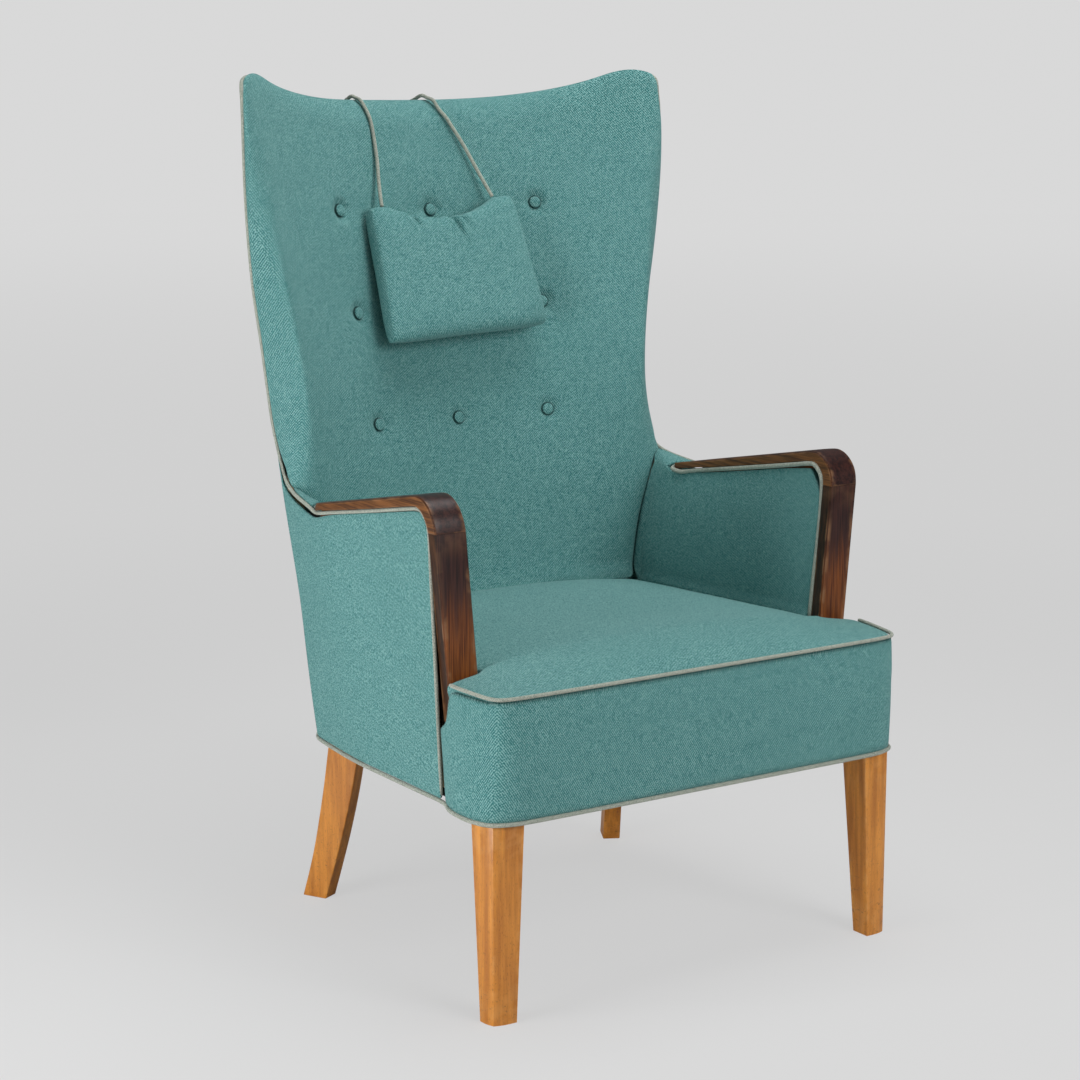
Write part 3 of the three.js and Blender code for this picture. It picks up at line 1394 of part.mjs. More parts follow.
// Inner piping of the arm: along the slanted end of the rail, under its inner edge and down to the seat
function armPiping() {
  const nose = armNoseShares.map(([across, deep, high]) => point(
    armInnerHalfWidth + postFlare + armWidth * across,
    armEndDepth + armWidth * deep,
    armUnderside(armEndDepth) + armRearThickness * high,
  ));
  const under = [0.88, 0.55, 0.25, 0.06].map((share) => {
    const depth = lerp(armBendDepth + armBendInnerShift * 2, armEndDepth, share);
    return point(armInnerHalfWidth + pipingRadius, depth, armUnderside(depth) - pipingLane * laneRoomShare);
  });
  const centre = armBendDepth + armBendInnerShift;
  const radius = armBendInnerRadius - pipingLane;
  const bend = [100.5, 120, 150, 180].map((degrees) => {
    const angle = THREE.MathUtils.degToRad(degrees);
    const [y, z] = [centre + radius * Math.cos(angle), armBendHeight + radius * Math.sin(angle)];
    return point(armInnerHalfWidth + pipingRadius, y, z);
  });
  const down = [0.35, 0.7, 1].map((share) => {
    const z = lerp(armBendHeight, seatBackHeight - pipingLane, share);
    return point(armInnerAt(z) + pipingRadius * 1.5, postRear + pipingLane, z);
  });
  return sewnPiping([...nose, ...under, ...bend, ...down], 2);
}

// Radius and height of each ring of a button, as shares of its own
const buttonProfileShares = [[0.86, 0], [1, 0.36], [0.6, 1]];

// Covered buttons in the tufts of the back
function backButton(place, seat) {
  const normal = backNormal(place.x, place.z).negate();
  const across = point(0, 0, 1).cross(normal).normalize();
  const up = normal.clone().cross(across);
  const angles = Array.from({ length: buttonSides }, (_, k) => (k / buttonSides) * 2 * Math.PI);
  const ring = ([wide, high]) => angles.map((angle) => place.clone()
    .addScaledVector(normal, seat + high * buttonHeight)
    .addScaledVector(across, wide * buttonRadius * Math.cos(angle))
    .addScaledVector(up, wide * buttonRadius * Math.sin(angle)));
  return loft(buttonProfileShares.map(ring));
}

// A cushion in its own frame: two crowned faces that meet in a thin seam, with sides drawn in
function cushion({ columns, rows, outline, bulge, frame }) {
  const [front, rear] = [[], []];
  for (let j = 0; j <= rows; j += 1) {
    for (let i = 0; i <= columns; i += 1) {
      const [u, v] = [i, j].map((place, k) => {
        const share = (2 * place) / (k ? rows : columns) - 1;
        return Math.sin(share * (Math.PI / 2));
      });
      const [across, along] = outline(u, v);
      const { middle, half } = bulge(u, v);
      front.push(frame(across, along, middle + half));
      rear.push(frame(across, along, middle - half));
    }
  }
  return thickSkin(front, rear, gridCells(rows + 1, columns + 1));
}

const crownAt = (u, v, sharpness) => {
  const [across, up] = [u, v].map((share) => 1 - Math.abs(share) ** sharpness);
  return Math.sqrt(across * up);
};

function neckPillow() {
  const fall = pillowFootStandoff - pillowTopStandoff;
  const rake = backRake + Math.atan(fall / pillowLength);
  const up = point(0, Math.sin(rake), Math.cos(rake));
  const out = point(0, -Math.cos(rake), Math.sin(rake));
  const right = point(1, 0, 0);
  const middle = (pillowTopStandoff + pillowFootStandoff) / 2;
  const centre = point(pillowOffset, insideSkin(0, pillowCentreHeight), pillowCentreHeight)
    .addScaledVector(backNormal(0, pillowCentreHeight), -middle);
  const [cos, sin] = [Math.cos(pillowTilt), Math.sin(pillowTilt)];
  return cushion({
    columns: 12,
    rows: 10,
    outline: (u, v) => {
      const half = lerp(pillowWidth, pillowTopWidth, (v + 1) / 2) / 2;
      const drawn = pillowDrawIn * (1 - v * v);
      const sag = pillowTopSag * Math.max(1 - (u / pillowSagEndShare) ** 2, 0) * Math.max(v, 0) ** 2;
      const rounded = 1 - pillowCornerShare * (u * v) ** 6;
      const long = pillowLength / 2 - pillowDrawIn * (1 - u * u);
      return [u * rounded * (half - drawn), v * rounded * long - sag];
    },
    bulge: (u, v) => {
      const belly = pillowThickness * (1 - v * pillowBellyShare);
      const crown = crownAt(u, v, pillowCrownSharpness);
      return { middle: 0, half: lerp(pillowSeamThickness, belly, crown) / 2 };
    },
    frame: (across, along, depth) => centre.clone()
      .addScaledVector(right, across * cos - along * sin)
      .addScaledVector(up, along * cos + across * sin)
      .addScaledVector(out, depth),
  });
}

function counterweight() {
  const lean = Math.atan((rearTopDepth - rearFootDepth) / (backHeight - baseHeight));
  const up = point(0, Math.sin(lean), Math.cos(lean));
  const out = point(0, Math.cos(lean), -Math.sin(lean));
  const centre = point(weightOffset, rearLine(weightCentreHeight), weightCentreHeight)
    .addScaledVector(out, weightThickness / 2);
  return cushion({
    columns: 8,
    rows: 6,
    outline: (u, v) => [(u * weightWidth) / 2, (v * weightLength) / 2],
    bulge: (u, v) => {
      const crown = crownAt(u, v, crownSharpness);
      return { middle: 0, half: lerp(weightSeamThickness, weightThickness, crown) / 2 };
    },
    frame: (across, along, depth) => centre.clone()
      .addScaledVector(point(1, 0, 0), across)
      .addScaledVector(up, along)
      .addScaledVector(out, depth),
  });
}

addPair('front_leg', frontLeg, legWood);
addPair('rear_leg', rearLeg, legWood);
addPart('front_rail', frontRail(), frameWood());
addPair('side_rail', sideRail, frameWood);
addPart('back_seat_rail', backSeatRail(), frameWood());
addPair('front_corner_block', frontCornerBlock, frameWood);
addPair('rear_corner_block', rearCornerBlock, frameWood);
addPair('back_post', backPost, frameWood);
addPair('wing_post', wingPost, frameWood);
const lowerRailTop = lowerRailFoot + backRailHeight;
addPart('back_lower_rail', bowedRail(betweenPosts, lowerRailFoot, lowerRailTop, 4), frameWood());
const middleRailTop = middleRailFoot + backRailHeight;
addPart('back_middle_rail', bowedRail(betweenPosts, middleRailFoot, middleRailTop, 6), frameWood());
addPart('back_top_rail', bowedRail(topRailHalf, topRailFoot, topRailFoot + topRailHeight, 10), frameWood());
addPair('arm_rail', armRail, showWood);
addPair('arm_post', armPost, showWood);
addPart('seat_webbing', seatWebbing(), jute());
for (let row = 0; row < 3; row += 1) {
  for (let column = 0; column < 3; column += 1) {
    const depth = springFirstDepth + row * springSpacingDeep;
    const spring = seatSpring((column - 1) * springSpacingAcross, depth);
    addPart(`seat_spring_${row + 1}_${column + 1}`, spring, springSteel());
  }
}
addPart('seat_pad', seatPad(), fabric());
addPart('front_border', frontBorder(), fabric());
addPart('inside_back_pad', insideBackPad(), fabric());
addPair('inside_arm_pad', insideArmPad, fabric);
addPair('outside_arm_panel', outsideArmPanel, fabric);
addPart('outside_back_panel', outsideBackPanel(), fabric());
addPart('dust_cover', dustCover(), lining());
addPart('seat_piping', seatPiping(), pipingCloth());
addPart('base_piping', basePiping(), pipingCloth());
addPart('back_piping', backPiping(), pipingCloth());
addPair('arm_piping', armPiping, pipingCloth);
const tufted = insideBackSkin();
tufted.tufts.forEach((place, k) => {
  const name = `back_button_${Math.floor(k / 3) + 1}_${(k % 3) + 1}`;
  const button = backButton(tufted.points[place], buttonSeat - tuftDepth);
  addPart(name, button, fabric());
});
addPart('neck_pillow', neckPillow(), fabric());
addPart('counterweight', counterweight(), fabric());
[['left', leftCord], ['right', rightCord]].forEach(([side, line]) => {
  const route = smoothCurve(line.map((p) => point(...p)));
  addPart(`pillow_cord_${side}`, tube(route, cordRadius, 8, 44), pipingCloth());
});

// The origin lies on the floor under the middle of the chair without its cords
const extent = new THREE.Box3();
for (const mesh of assembly.children) {
  if (!mesh.name.startsWith('pillow_cord')) extent.expandByObject(mesh);
}
const middle = extent.getCenter(point());
for (const mesh of assembly.children) mesh.geometry.translate(0, -middle.y, 0);

export default assembly;
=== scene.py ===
import math

import bmesh
import bpy
import numpy as np
from mathutils import Euler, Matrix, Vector, noise
from mathutils.bvhtree import BVHTree


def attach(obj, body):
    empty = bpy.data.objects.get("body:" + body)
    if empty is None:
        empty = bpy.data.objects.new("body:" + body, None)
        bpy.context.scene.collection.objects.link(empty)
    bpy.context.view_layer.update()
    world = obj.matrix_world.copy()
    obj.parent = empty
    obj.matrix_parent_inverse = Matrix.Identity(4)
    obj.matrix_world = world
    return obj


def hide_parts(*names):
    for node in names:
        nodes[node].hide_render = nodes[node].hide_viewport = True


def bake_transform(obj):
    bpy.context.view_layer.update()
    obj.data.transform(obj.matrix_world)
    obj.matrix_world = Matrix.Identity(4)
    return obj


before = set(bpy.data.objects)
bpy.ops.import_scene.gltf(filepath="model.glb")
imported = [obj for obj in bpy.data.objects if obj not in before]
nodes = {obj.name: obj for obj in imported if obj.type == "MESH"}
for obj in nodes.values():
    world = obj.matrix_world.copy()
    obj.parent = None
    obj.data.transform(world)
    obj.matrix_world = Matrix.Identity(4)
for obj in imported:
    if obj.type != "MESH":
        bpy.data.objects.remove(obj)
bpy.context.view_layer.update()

scene = bpy.context.scene
scene.view_settings.view_transform = "Standard"


# Camera at the photograph's place. Lens and sensor in millimetres, angles in degrees
sensor_width = 36
lens = 86.81
camera_place = (-1.9014, -2.8604, 1.1815)
camera_drop = 11.095
camera_turn = -33.495

camera_data = bpy.data.cameras.new("camera")
camera_data.sensor_width = sensor_width
camera_data.lens = lens
camera = bpy.data.objects.new("camera", camera_data)
camera.location = camera_place
camera.rotation_euler = Euler((math.radians(90 - camera_drop), 0, math.radians(camera_turn)))
scene.collection.objects.link(camera)
scene.camera = camera


# Shader trees
class Tree:
    """A material's node tree, with one short call for each kind of node that the materials use."""

    def __init__(self, name):
        self.material = bpy.data.materials.new(name)
        self.material.use_nodes = True
        self.tree = self.material.node_tree
        self.shader = self.tree.nodes["Principled BSDF"]
        self.output = self.tree.nodes["Material Output"]
        self.place = self.new("ShaderNodeTexCoord")

    def new(self, kind, **settings):
        node = self.tree.nodes.new(kind)
        for key, value in settings.items():
            setattr(node, key, value)
        return node

    def put(self, socket, value):
        if isinstance(value, bpy.types.NodeSocket):
            self.tree.links.new(value, socket)
        else:
            socket.default_value = value

    def math(self, operation, *values):
        node = self.new("ShaderNodeMath", operation=operation)
        for socket, value in zip(node.inputs, values):
            self.put(socket, value)
        return node.outputs[0]

    def times(self, first, second):
        return self.math("MULTIPLY", first, second)

    def plus(self, first, second):
        return self.math("ADD", first, second)

    def less(self, first, second):
        return self.math("SUBTRACT", first, second)

    def wave(self, phase):
        """A sine wave between 0 and 1."""
        return self.math("MULTIPLY_ADD", self.math("SINE", phase), 0.5, 0.5)

    def split(self, vector):
        node = self.new("ShaderNodeSeparateXYZ")
        self.put(node.inputs[0], vector)
        return node.outputs

    def join(self, x, y, z):
        node = self.new("ShaderNodeCombineXYZ")
        for socket, value in zip(node.inputs, (x, y, z)):
            self.put(socket, value)
        return node.outputs[0]

    def stretch(self, vector, scale):
        node = self.new("ShaderNodeVectorMath", operation="MULTIPLY")
        self.put(node.inputs[0], vector)
        node.inputs[1].default_value = scale
        return node.outputs[0]

    def noise(self, vector, scale, detail=2, rough=0.5):
        node = self.new("ShaderNodeTexNoise")
        self.put(node.inputs["Vector"], vector)
        node.inputs["Scale"].default_value = scale
        node.inputs["Detail"].default_value = detail
        node.inputs["Roughness"].default_value = rough
        return node.outputs["Fac"]

    def ramp(self, value, low, high, start=0.0, end=1.0):
        node = self.new("ShaderNodeMapRange", clamp=True)
        node.interpolation_type = "SMOOTHSTEP"
        for socket, number in zip(node.inputs, (value, low, high, start, end)):
            self.put(socket, number)
        return node.outputs[0]

    def mix(self, share, first, second):
        node = self.new("ShaderNodeMix", data_type="RGBA")
        self.put(node.inputs["Factor"], share)
        for socket, value in ((node.inputs[6], first), (node.inputs[7], second)):
            self.put(socket, value if isinstance(value, bpy.types.NodeSocket) else (*value, 1))
        return node.outputs[2]

    def bump(self, height, strength, distance):
        node = self.new("ShaderNodeBump")
        node.inputs["Strength"].default_value = strength
        node.inputs["Distance"].default_value = distance
        self.put(node.inputs["Height"], height)
        return node.outputs[0]

    def attribute(self, name):
        return self.new("ShaderNodeAttribute", attribute_name=name).outputs["Fac"]


def flat_place(tree):
    """Two coordinates along the cloth, picked by the side that the surface faces."""
    x, y, z = tree.split(tree.place.outputs["Object"])
    nx, ny, nz = (tree.math("ABSOLUTE", n) for n in tree.split(tree.place.outputs["Normal"]))
    sideways = tree.math("GREATER_THAN", nx, tree.math("MAXIMUM", ny, nz))
    upward = tree.math("GREATER_THAN", nz, tree.math("MAXIMUM", nx, ny))
    along = tree.plus(tree.times(x, tree.less(1, sideways)), tree.times(y, sideways))
    up = tree.plus(tree.times(z, tree.less(1, upward)), tree.times(y, upward))
    return along, up


# Wool twill: slope of its ribs, how far and how often they waver, and the spacing of its knots
twill_run, twill_rise = 0.84, 0.54
rib_waver, waver_scale = 2.6, 120
knot_spacing_share = 1.2
# What its tone is mixed from, and the tones between which it goes from dark to light
fibre_weight, blotch_weight, rib_weight, knot_weight = 0.73, 0.03, 0.17, 0.07
tone_middle, tone_spread = 0.505, 0.085
# How bright its worn patches are, and the painted shade in the gaps round the buttons, against its middle
# tone
patch_tone, gap_shade_tone = 0.8, 0.25


def cloth(name, dark, middle, light, rib=0.0024, fleck=540, sheen=0.18, shade_gaps=False):
    """Wool twill: slanting ribs over a ground of mixed fibres, with painted shade where a gap round a
    button is marked.
    """
    tree = Tree(name)
    along, up = flat_place(tree)
    place = tree.place.outputs["Object"]
    fibres = tree.noise(place, fleck, 3, 0.62)
    slant = tree.plus(tree.times(along, twill_run), tree.times(up, twill_rise))
    waver = tree.times(tree.less(tree.noise(place, waver_scale), 0.5), rib_waver)
    ribs = tree.wave(tree.plus(tree.times(slant, 2 * math.pi / rib), waver))
    cross = tree.less(tree.times(up, twill_run), tree.times(along, twill_rise))
    knots = tree.wave(tree.times(cross, 2 * math.pi / (knot_spacing_share * rib)))
    blotch = tree.noise(place, 95)
    shade = tree.noise(place, 9)
    mixed = 0.0
    weights = ((fibres, fibre_weight), (blotch, blotch_weight), (ribs, rib_weight), (knots, knot_weight))
    for value, weight in weights:
        mixed = tree.math("MULTIPLY_ADD", value, weight, mixed)
    low = tree.ramp(mixed, 0.5 - tone_spread, tone_middle)
    high = tree.ramp(mixed, tone_middle, 0.5 + tone_spread)
    colour = tree.mix(high, tree.mix(low, dark, middle), light)
    colour = tree.mix(tree.ramp(shade, 0.3, 0.7, 0.0, 0.12), colour, [c * patch_tone for c in middle])
    # Painted shade in the gaps round the buttons, where the mesh marks it
    if shade_gaps:
        colour = tree.mix(tree.attribute("painted_gap_shade"), colour, [c * gap_shade_tone for c in middle])
    tree.put(tree.shader.inputs["Base Color"], colour)
    tree.put(tree.shader.inputs["Roughness"], 0.94)
    tree.shader.inputs["Specular IOR Level"].default_value = 0.08
    tree.shader.inputs["Sheen Weight"].default_value = sheen
    tree.shader.inputs["Sheen Roughness"].default_value = 0.5
    tree.shader.inputs["Sheen Tint"].default_value = (0.75, 0.97, 0.96, 1)
    fuzz = tree.math("MULTIPLY_ADD", ribs, 0.45, tree.times(fibres, 0.9))
    tree.put(tree.shader.inputs["Normal"], tree.bump(fuzz, 0.6, 0.0007))
    return tree.material


def raw_wood(name, dark, light):
    """Plain unfinished wood with upright grain."""
    tree = Tree(name)
    place = tree.stretch(tree.place.outputs["Object"], (26, 26, 2.2))
    streak = tree.noise(place, 4, 5, 0.6)
    fine = tree.noise(tree.stretch(tree.place.outputs["Object"], (260, 260, 14)), 3, 3)
    colour = tree.mix(tree.ramp(streak, 0.3, 0.7), dark, light)
    colour = tree.mix(tree.ramp(fine, 0.55, 0.75, 0, 0.35), colour, dark)
    tree.put(tree.shader.inputs["Base Color"], colour)
    tree.put(tree.shader.inputs["Roughness"], 0.6)
    tree.put(tree.shader.inputs["Normal"], tree.bump(fine, 0.15, 0.0004))
    return tree.material


# The legs are scuffed from the floor up, fading out between these heights
scuffed_foot = (0.16, 0.02)


def beech(name):
    """Honey-coloured beech: long soft streaks, short dark ray flecks and rubbed feet."""
    tree = Tree(name)
    place = tree.place.outputs["Object"]
    z = tree.split(place)[2]
    streak = tree.noise(tree.stretch(place, (30, 30, 2.0)), 3, 5, 0.6)
    flecks = tree.noise(tree.stretch(place, (620, 620, 130)), 1.6)
    cloud = tree.noise(place, 14, 3, 0.55)
    colour = tree.mix(tree.ramp(streak, 0.32, 0.68), (0.46, 0.155, 0.018), (0.76, 0.30, 0.040))
    colour = tree.mix(tree.ramp(cloud, 0.4, 0.7, 0, 0.4), colour, (0.56, 0.20, 0.022))
    colour = tree.mix(tree.ramp(flecks, 0.58, 0.72, 0, 0.55), colour, (0.25, 0.08, 0.014))
    dents = tree.noise(tree.stretch(place, (90, 90, 210)), 1, 3, 0.7)
    scuff = tree.times(tree.ramp(dents, 0.6, 0.68), tree.ramp(z, *scuffed_foot))
    colour = tree.mix(tree.times(scuff, 0.6), colour, (0.14, 0.055, 0.02))
    edge = tree.attribute("edge_near")
    worn = tree.times(edge, tree.ramp(tree.noise(place, 70, 3), 0.4, 0.65))
    colour = tree.mix(tree.times(worn, 0.35), colour, (0.80, 0.40, 0.12))
    tree.put(tree.shader.inputs["Base Color"], colour)
    tree.put(tree.shader.inputs["Roughness"], tree.ramp(cloud, 0.3, 0.8, 0.34, 0.5))
    tree.shader.inputs["Coat Weight"].default_value = 0.08
    tree.shader.inputs["Coat Roughness"].default_value = 0.3
    height = tree.plus(flecks, tree.times(scuff, -0.8))
    tree.put(tree.shader.inputs["Normal"], tree.bump(height, 0.12, 0.0005))
    return tree.material


# Heights between which the posts' dark stain gives way to the warm wood below
stain_fade = (0.535, 0.44)
# Heights between which the rub on the edges fades towards the joint of post and rail
joint_from_post = (0.552, 0.53)
joint_from_rail = (0.575, 0.6)
post_flank = ((0.015, 0.005, 0.002), (0.060, 0.021, 0.007))
rail_flank = ((0.065, 0.024, 0.008), (0.24, 0.095, 0.028))


def stained_arm(name, along, post):
    """Dark stain over a red-brown wood, streaked along the grain, with a thin pale rub on its edges."""
    tree = Tree(name)
    place = tree.place.outputs["Object"]
    z = tree.split(place)[2]
    facing = tree.math("ABSOLUTE", tree.split(tree.place.outputs["Normal"])[0])
    broad = tree.noise(tree.stretch(place, [3 if axis == along else 60 for axis in range(3)]), 3, 4, 0.6)
    fine = tree.noise(tree.stretch(place, [7 if axis == along else 330 for axis in range(3)]), 2, 3, 0.6)
    streak = tree.math("MULTIPLY_ADD", fine, 0.5, tree.times(broad, 0.5))
    cloud = tree.noise(place, 22, 3, 0.6)
    grain = tree.ramp(streak, 0.38, 0.62)
    dark = tree.mix(grain, (0.014, 0.005, 0.005), (0.052, 0.017, 0.013))
    warm = tree.mix(grain, (0.080, 0.018, 0.004), (0.30, 0.085, 0.014))
    if post:
        edge = tree.math("MULTIPLY_ADD", tree.less(broad, 0.5), 0.16, z)
        faded = tree.ramp(edge, *stain_fade)
    else:
        faded = tree.ramp(cloud, 0.66, 0.9, 0.0, 0.3)
    front = tree.mix(faded, dark, warm)
    side = tree.mix(grain, *(post_flank if post else rail_flank))
    colour = tree.mix(tree.ramp(facing, 0.6, 0.85), front, side)
    near = tree.attribute("edge_near")
    patchy = tree.ramp(tree.noise(place, 40, 3), 0.42, 0.6, 0.15, 1)
    worn = tree.times(tree.ramp(near, 0.35, 0.9), patchy)
    off_joint = tree.ramp(z, *(joint_from_post if post else joint_from_rail), 0.15, 0.6)
    colour = tree.mix(tree.times(worn, off_joint), colour, (0.30, 0.15, 0.07))
    tree.put(tree.shader.inputs["Base Color"], colour)
    tree.put(tree.shader.inputs["Roughness"], tree.ramp(cloud, 0.3, 0.75, 0.32, 0.46))
    tree.shader.inputs["Specular IOR Level"].default_value = 0.3
    tree.shader.inputs["Coat Weight"].default_value = 0.08
    tree.shader.inputs["Coat Roughness"].default_value = 0.25
    tree.put(tree.shader.inputs["Normal"], tree.bump(streak, 0.12, 0.0004))
    return tree.material


def wire_metal(name):
    """Coppery spring wire, tarnished in patches."""
    tree = Tree(name)
    place = tree.place.outputs["Object"]
    tarnish = tree.noise(place, 60, 3)
    colour = tree.mix(tree.ramp(tarnish, 0.35, 0.7), (0.42, 0.24, 0.13), (0.2, 0.12, 0.08))
    tree.put(tree.shader.inputs["Base Color"], colour)
    tree.shader.inputs["Metallic"].default_value = 1
    tree.put(tree.shader.inputs["Roughness"], tree.ramp(tarnish, 0.3, 0.7, 0.35, 0.55))
    return tree.material


# Dark, middle and light tone of each cloth
teal = ((0.030, 0.148, 0.148), (0.096, 0.282, 0.276), (0.26, 0.485, 0.468))
grey_green = ((0.23, 0.265, 0.225), (0.37, 0.395, 0.335), (0.52, 0.54, 0.47))
black = ((0.010, 0.010, 0.011), (0.020, 0.020, 0.022), (0.040, 0.040, 0.042))
straw = ((0.20, 0.13, 0.065), (0.36, 0.25, 0.13), (0.48, 0.36, 0.2))

cover = cloth("cover_cloth", *teal, shade_gaps=True)
edging = cloth("piping_cloth", *grey_green, rib=0.0018, fleck=520, sheen=0.1)
lining = cloth("lining_cloth", *black, sheen=0.05)
jute = cloth("webbing", *straw, rib=0.004, fleck=260, sheen=0.1)
leg_wood = beech("leg_wood")
post_wood = stained_arm("arm_post_wood", 2, True)
rail_wood = stained_arm("arm_rail_wood", 1, False)
frame_wood = raw_wood("frame_wood", (0.40, 0.26, 0.13), (0.58, 0.42, 0.24))
springs = wire_metal("spring_steel")


# Meshes made from the frame's solids
weld_distance = 1e-5
flat_face_angle = 50
flat_shape_angle = 70
front_normal = 0.2
bevel_angle = 30
bevel_segments = 3


def add(name, mesh, body, material, replaced=()):
    """A piece with its material that rides on a body and stands for some nodes of the frame."""
    mesh.name = name
    piece = bpy.data.objects.new(name, mesh)
    scene.collection.objects.link(piece)
    mesh.materials.clear()
    mesh.materials.append(material)
    if body:
        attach(piece, body)
    if replaced:
        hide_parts(*replaced)
    return piece


def points_of(mesh):
    co = np.empty(len(mesh.vertices) * 3)
    mesh.vertices.foreach_get("co", co)
    return co.reshape(-1, 3)


def normals_of(mesh):
    values = np.empty(len(mesh.vertices) * 3)
    mesh.vertex_normals.foreach_get("vector", values)
    return values.reshape(-1, 3)


def move_to(mesh, co):
    mesh.vertices.foreach_set("co", co.ravel())
    mesh.update()


def smooth_mesh(name, vertices, faces):
    """A smoothly shaded mesh from its points and faces."""
    mesh = bpy.data.meshes.new(name)
    mesh.from_pydata(vertices, [], faces)
    for polygon in mesh.polygons:
        polygon.use_smooth = True
    mesh.update()
    return mesh


def cage(node, crease_angle, crease=1.0, soft_front=False):
    """The node's solid as quads, with its sharp edges creased, or only those towards its rear."""
    mesh = nodes[node].data.copy()
    bm = bmesh.new()
    bm.from_mesh(mesh)
    bmesh.ops.remove_doubles(bm, verts=bm.verts, dist=weld_distance)
    bmesh.ops.join_triangles(bm, faces=bm.faces, angle_face_threshold=math.radians(flat_face_angle),
                             angle_shape_threshold=math.radians(flat_shape_angle))
    layer = bm.edges.layers.float.get("crease_edge") or bm.edges.layers.float.new("crease_edge")
    sharp = []
    for edge in bm.edges:
        in_front = soft_front and all(face.normal.y < front_normal for face in edge.link_faces)
        folded = len(edge.link_faces) == 2 and edge.calc_face_angle(0) > math.radians(crease_angle)
        if folded and not in_front:
            edge[layer] = crease
            sharp.append([edge.verts[0].co.copy(), edge.verts[1].co.copy()])
    for face in bm.faces:
        face.smooth = True
    bm.to_mesh(mesh)
    bm.free()
    return mesh, np.array(sharp, float).reshape(-1, 2, 3)


def applied(mesh, *modifiers):
    """The mesh with these modifiers applied."""
    piece = bpy.data.objects.new("working", mesh)
    scene.collection.objects.link(piece)
    for kind, settings in modifiers:
        modifier = piece.modifiers.new(kind, kind)
        for key, value in settings.items():
            setattr(modifier, key, value)
    graph = bpy.context.evaluated_depsgraph_get()
    made = bpy.data.meshes.new_from_object(piece.evaluated_get(graph), depsgraph=graph)
    bpy.data.objects.remove(piece)
    for polygon in made.polygons:
        polygon.use_smooth = True
    return made


def smoothed(node, levels, crease_angle, crease=1.0, bevel=0.0, soft_front=False):
    """The node's solid subdivided and bevelled, and its sharp edges."""
    mesh, sharp = cage(node, crease_angle, crease, soft_front)
    steps = [("SUBSURF", {"levels": levels, "render_levels": levels})]
    if bevel:
        steps.append(("BEVEL", {"width": bevel, "segments": bevel_segments, "limit_method": "ANGLE",
                                "angle_limit": math.radians(bevel_angle)}))
    return applied(mesh, *steps), sharp


def mark(mesh, name, values):
    """Stores a number between 0 and 1 with each vertex, for the materials to read."""
    attribute = mesh.attributes.new(name, "FLOAT", "POINT")
    attribute.data.foreach_set("value", np.asarray(values, dtype=np.float32))


# Squared length below which an edge counts as a point
least_squared_length = 1e-12


def mark_edges(mesh, sharp, reach):
    """How near each vertex lies to a sharp edge of the piece."""
    co = points_of(mesh)
    nearest = np.full(len(co), np.inf)
    for start, end in sharp:
        run = end - start
        share = np.clip((co - start) @ run / max(run @ run, least_squared_length), 0, 1)
        nearest = np.minimum(nearest, np.linalg.norm(co - start - share[:, None] * run, axis=1))
    mark(mesh, "edge_near", np.exp(-nearest / reach))


def refined(mesh, spots, reach, cuts):
    """The mesh with its faces near some places cut finer."""
    bm = bmesh.new()
    bm.from_mesh(mesh)
    centres = [(edge, (edge.verts[0].co + edge.verts[1].co) / 2) for edge in bm.edges]
    near = [edge for edge, centre in centres
            if any((centre - Vector(spot)).length < reach for spot in spots)]
    bmesh.ops.subdivide_edges(bm, edges=near, cuts=cuts, use_grid_fill=True)
    bmesh.ops.triangulate(bm, faces=[f for f in bm.faces if len(f.verts) > 4])
    for face in bm.faces:
        face.smooth = True
    bm.to_mesh(mesh)
    bm.free()


def step(value, low, high):
    """Rises smoothly from 0 at low to 1 at high."""
    share = np.clip((value - low) / (high - low), 0, 1)
    return share * share * (3 - 2 * share)


def fade(value, low, high):
    """Falls smoothly from 1 at low to 0 at high."""
    return step(-value, -high, -low)


def nearest_on(mesh, co):
    """For each point the nearest place on the mesh, and how far it is."""
    tree = BVHTree.FromPolygons([v.co for v in mesh.vertices], [p.vertices for p in mesh.polygons])
    found = [tree.find_nearest(Vector(p)) for p in co]
    return np.array([f[0] for f in found]), np.array([f[3] for f in found])


relax_share = 0.5


def relaxed(mesh, co, free, rounds):
    """The points drawn to the middle of their neighbours, as far as each is free."""
    edges = np.empty(len(mesh.edges) * 2, int)
    mesh.edges.foreach_get("vertices", edges)
    first, second = edges.reshape(-1, 2).T
    ends, others = np.concatenate((first, second)), np.concatenate((second, first))
    count = np.bincount(ends, minlength=len(co))[:, None]
    for _ in range(rounds):
        sums = [np.bincount(ends, co[others, axis], len(co)) for axis in range(3)]
        co = co + (np.stack(sums, axis=1) / count - co) * (relax_share * free)[:, None]
    return co


# A seam is closed up to this share of its width, fully within this share of the cloth's reach
closed_share, closed_within = 0.85, 0.35


def drawn_to(co, mesh, reach):
    """Cloth pressed up to a neighbour, so that the seam between them closes."""
    place, distance = nearest_on(mesh, co)
    share = closed_share * fade(distance, closed_within * reach, reach)
    return co + (place - co) * share[:, None]


def ripple(co, scale, seed):
    """Slow unevenness, about -1 to 1, at each point."""
    return np.array([noise.noise(Vector(p) * scale + Vector((seed, 0, 0))) for p in co])


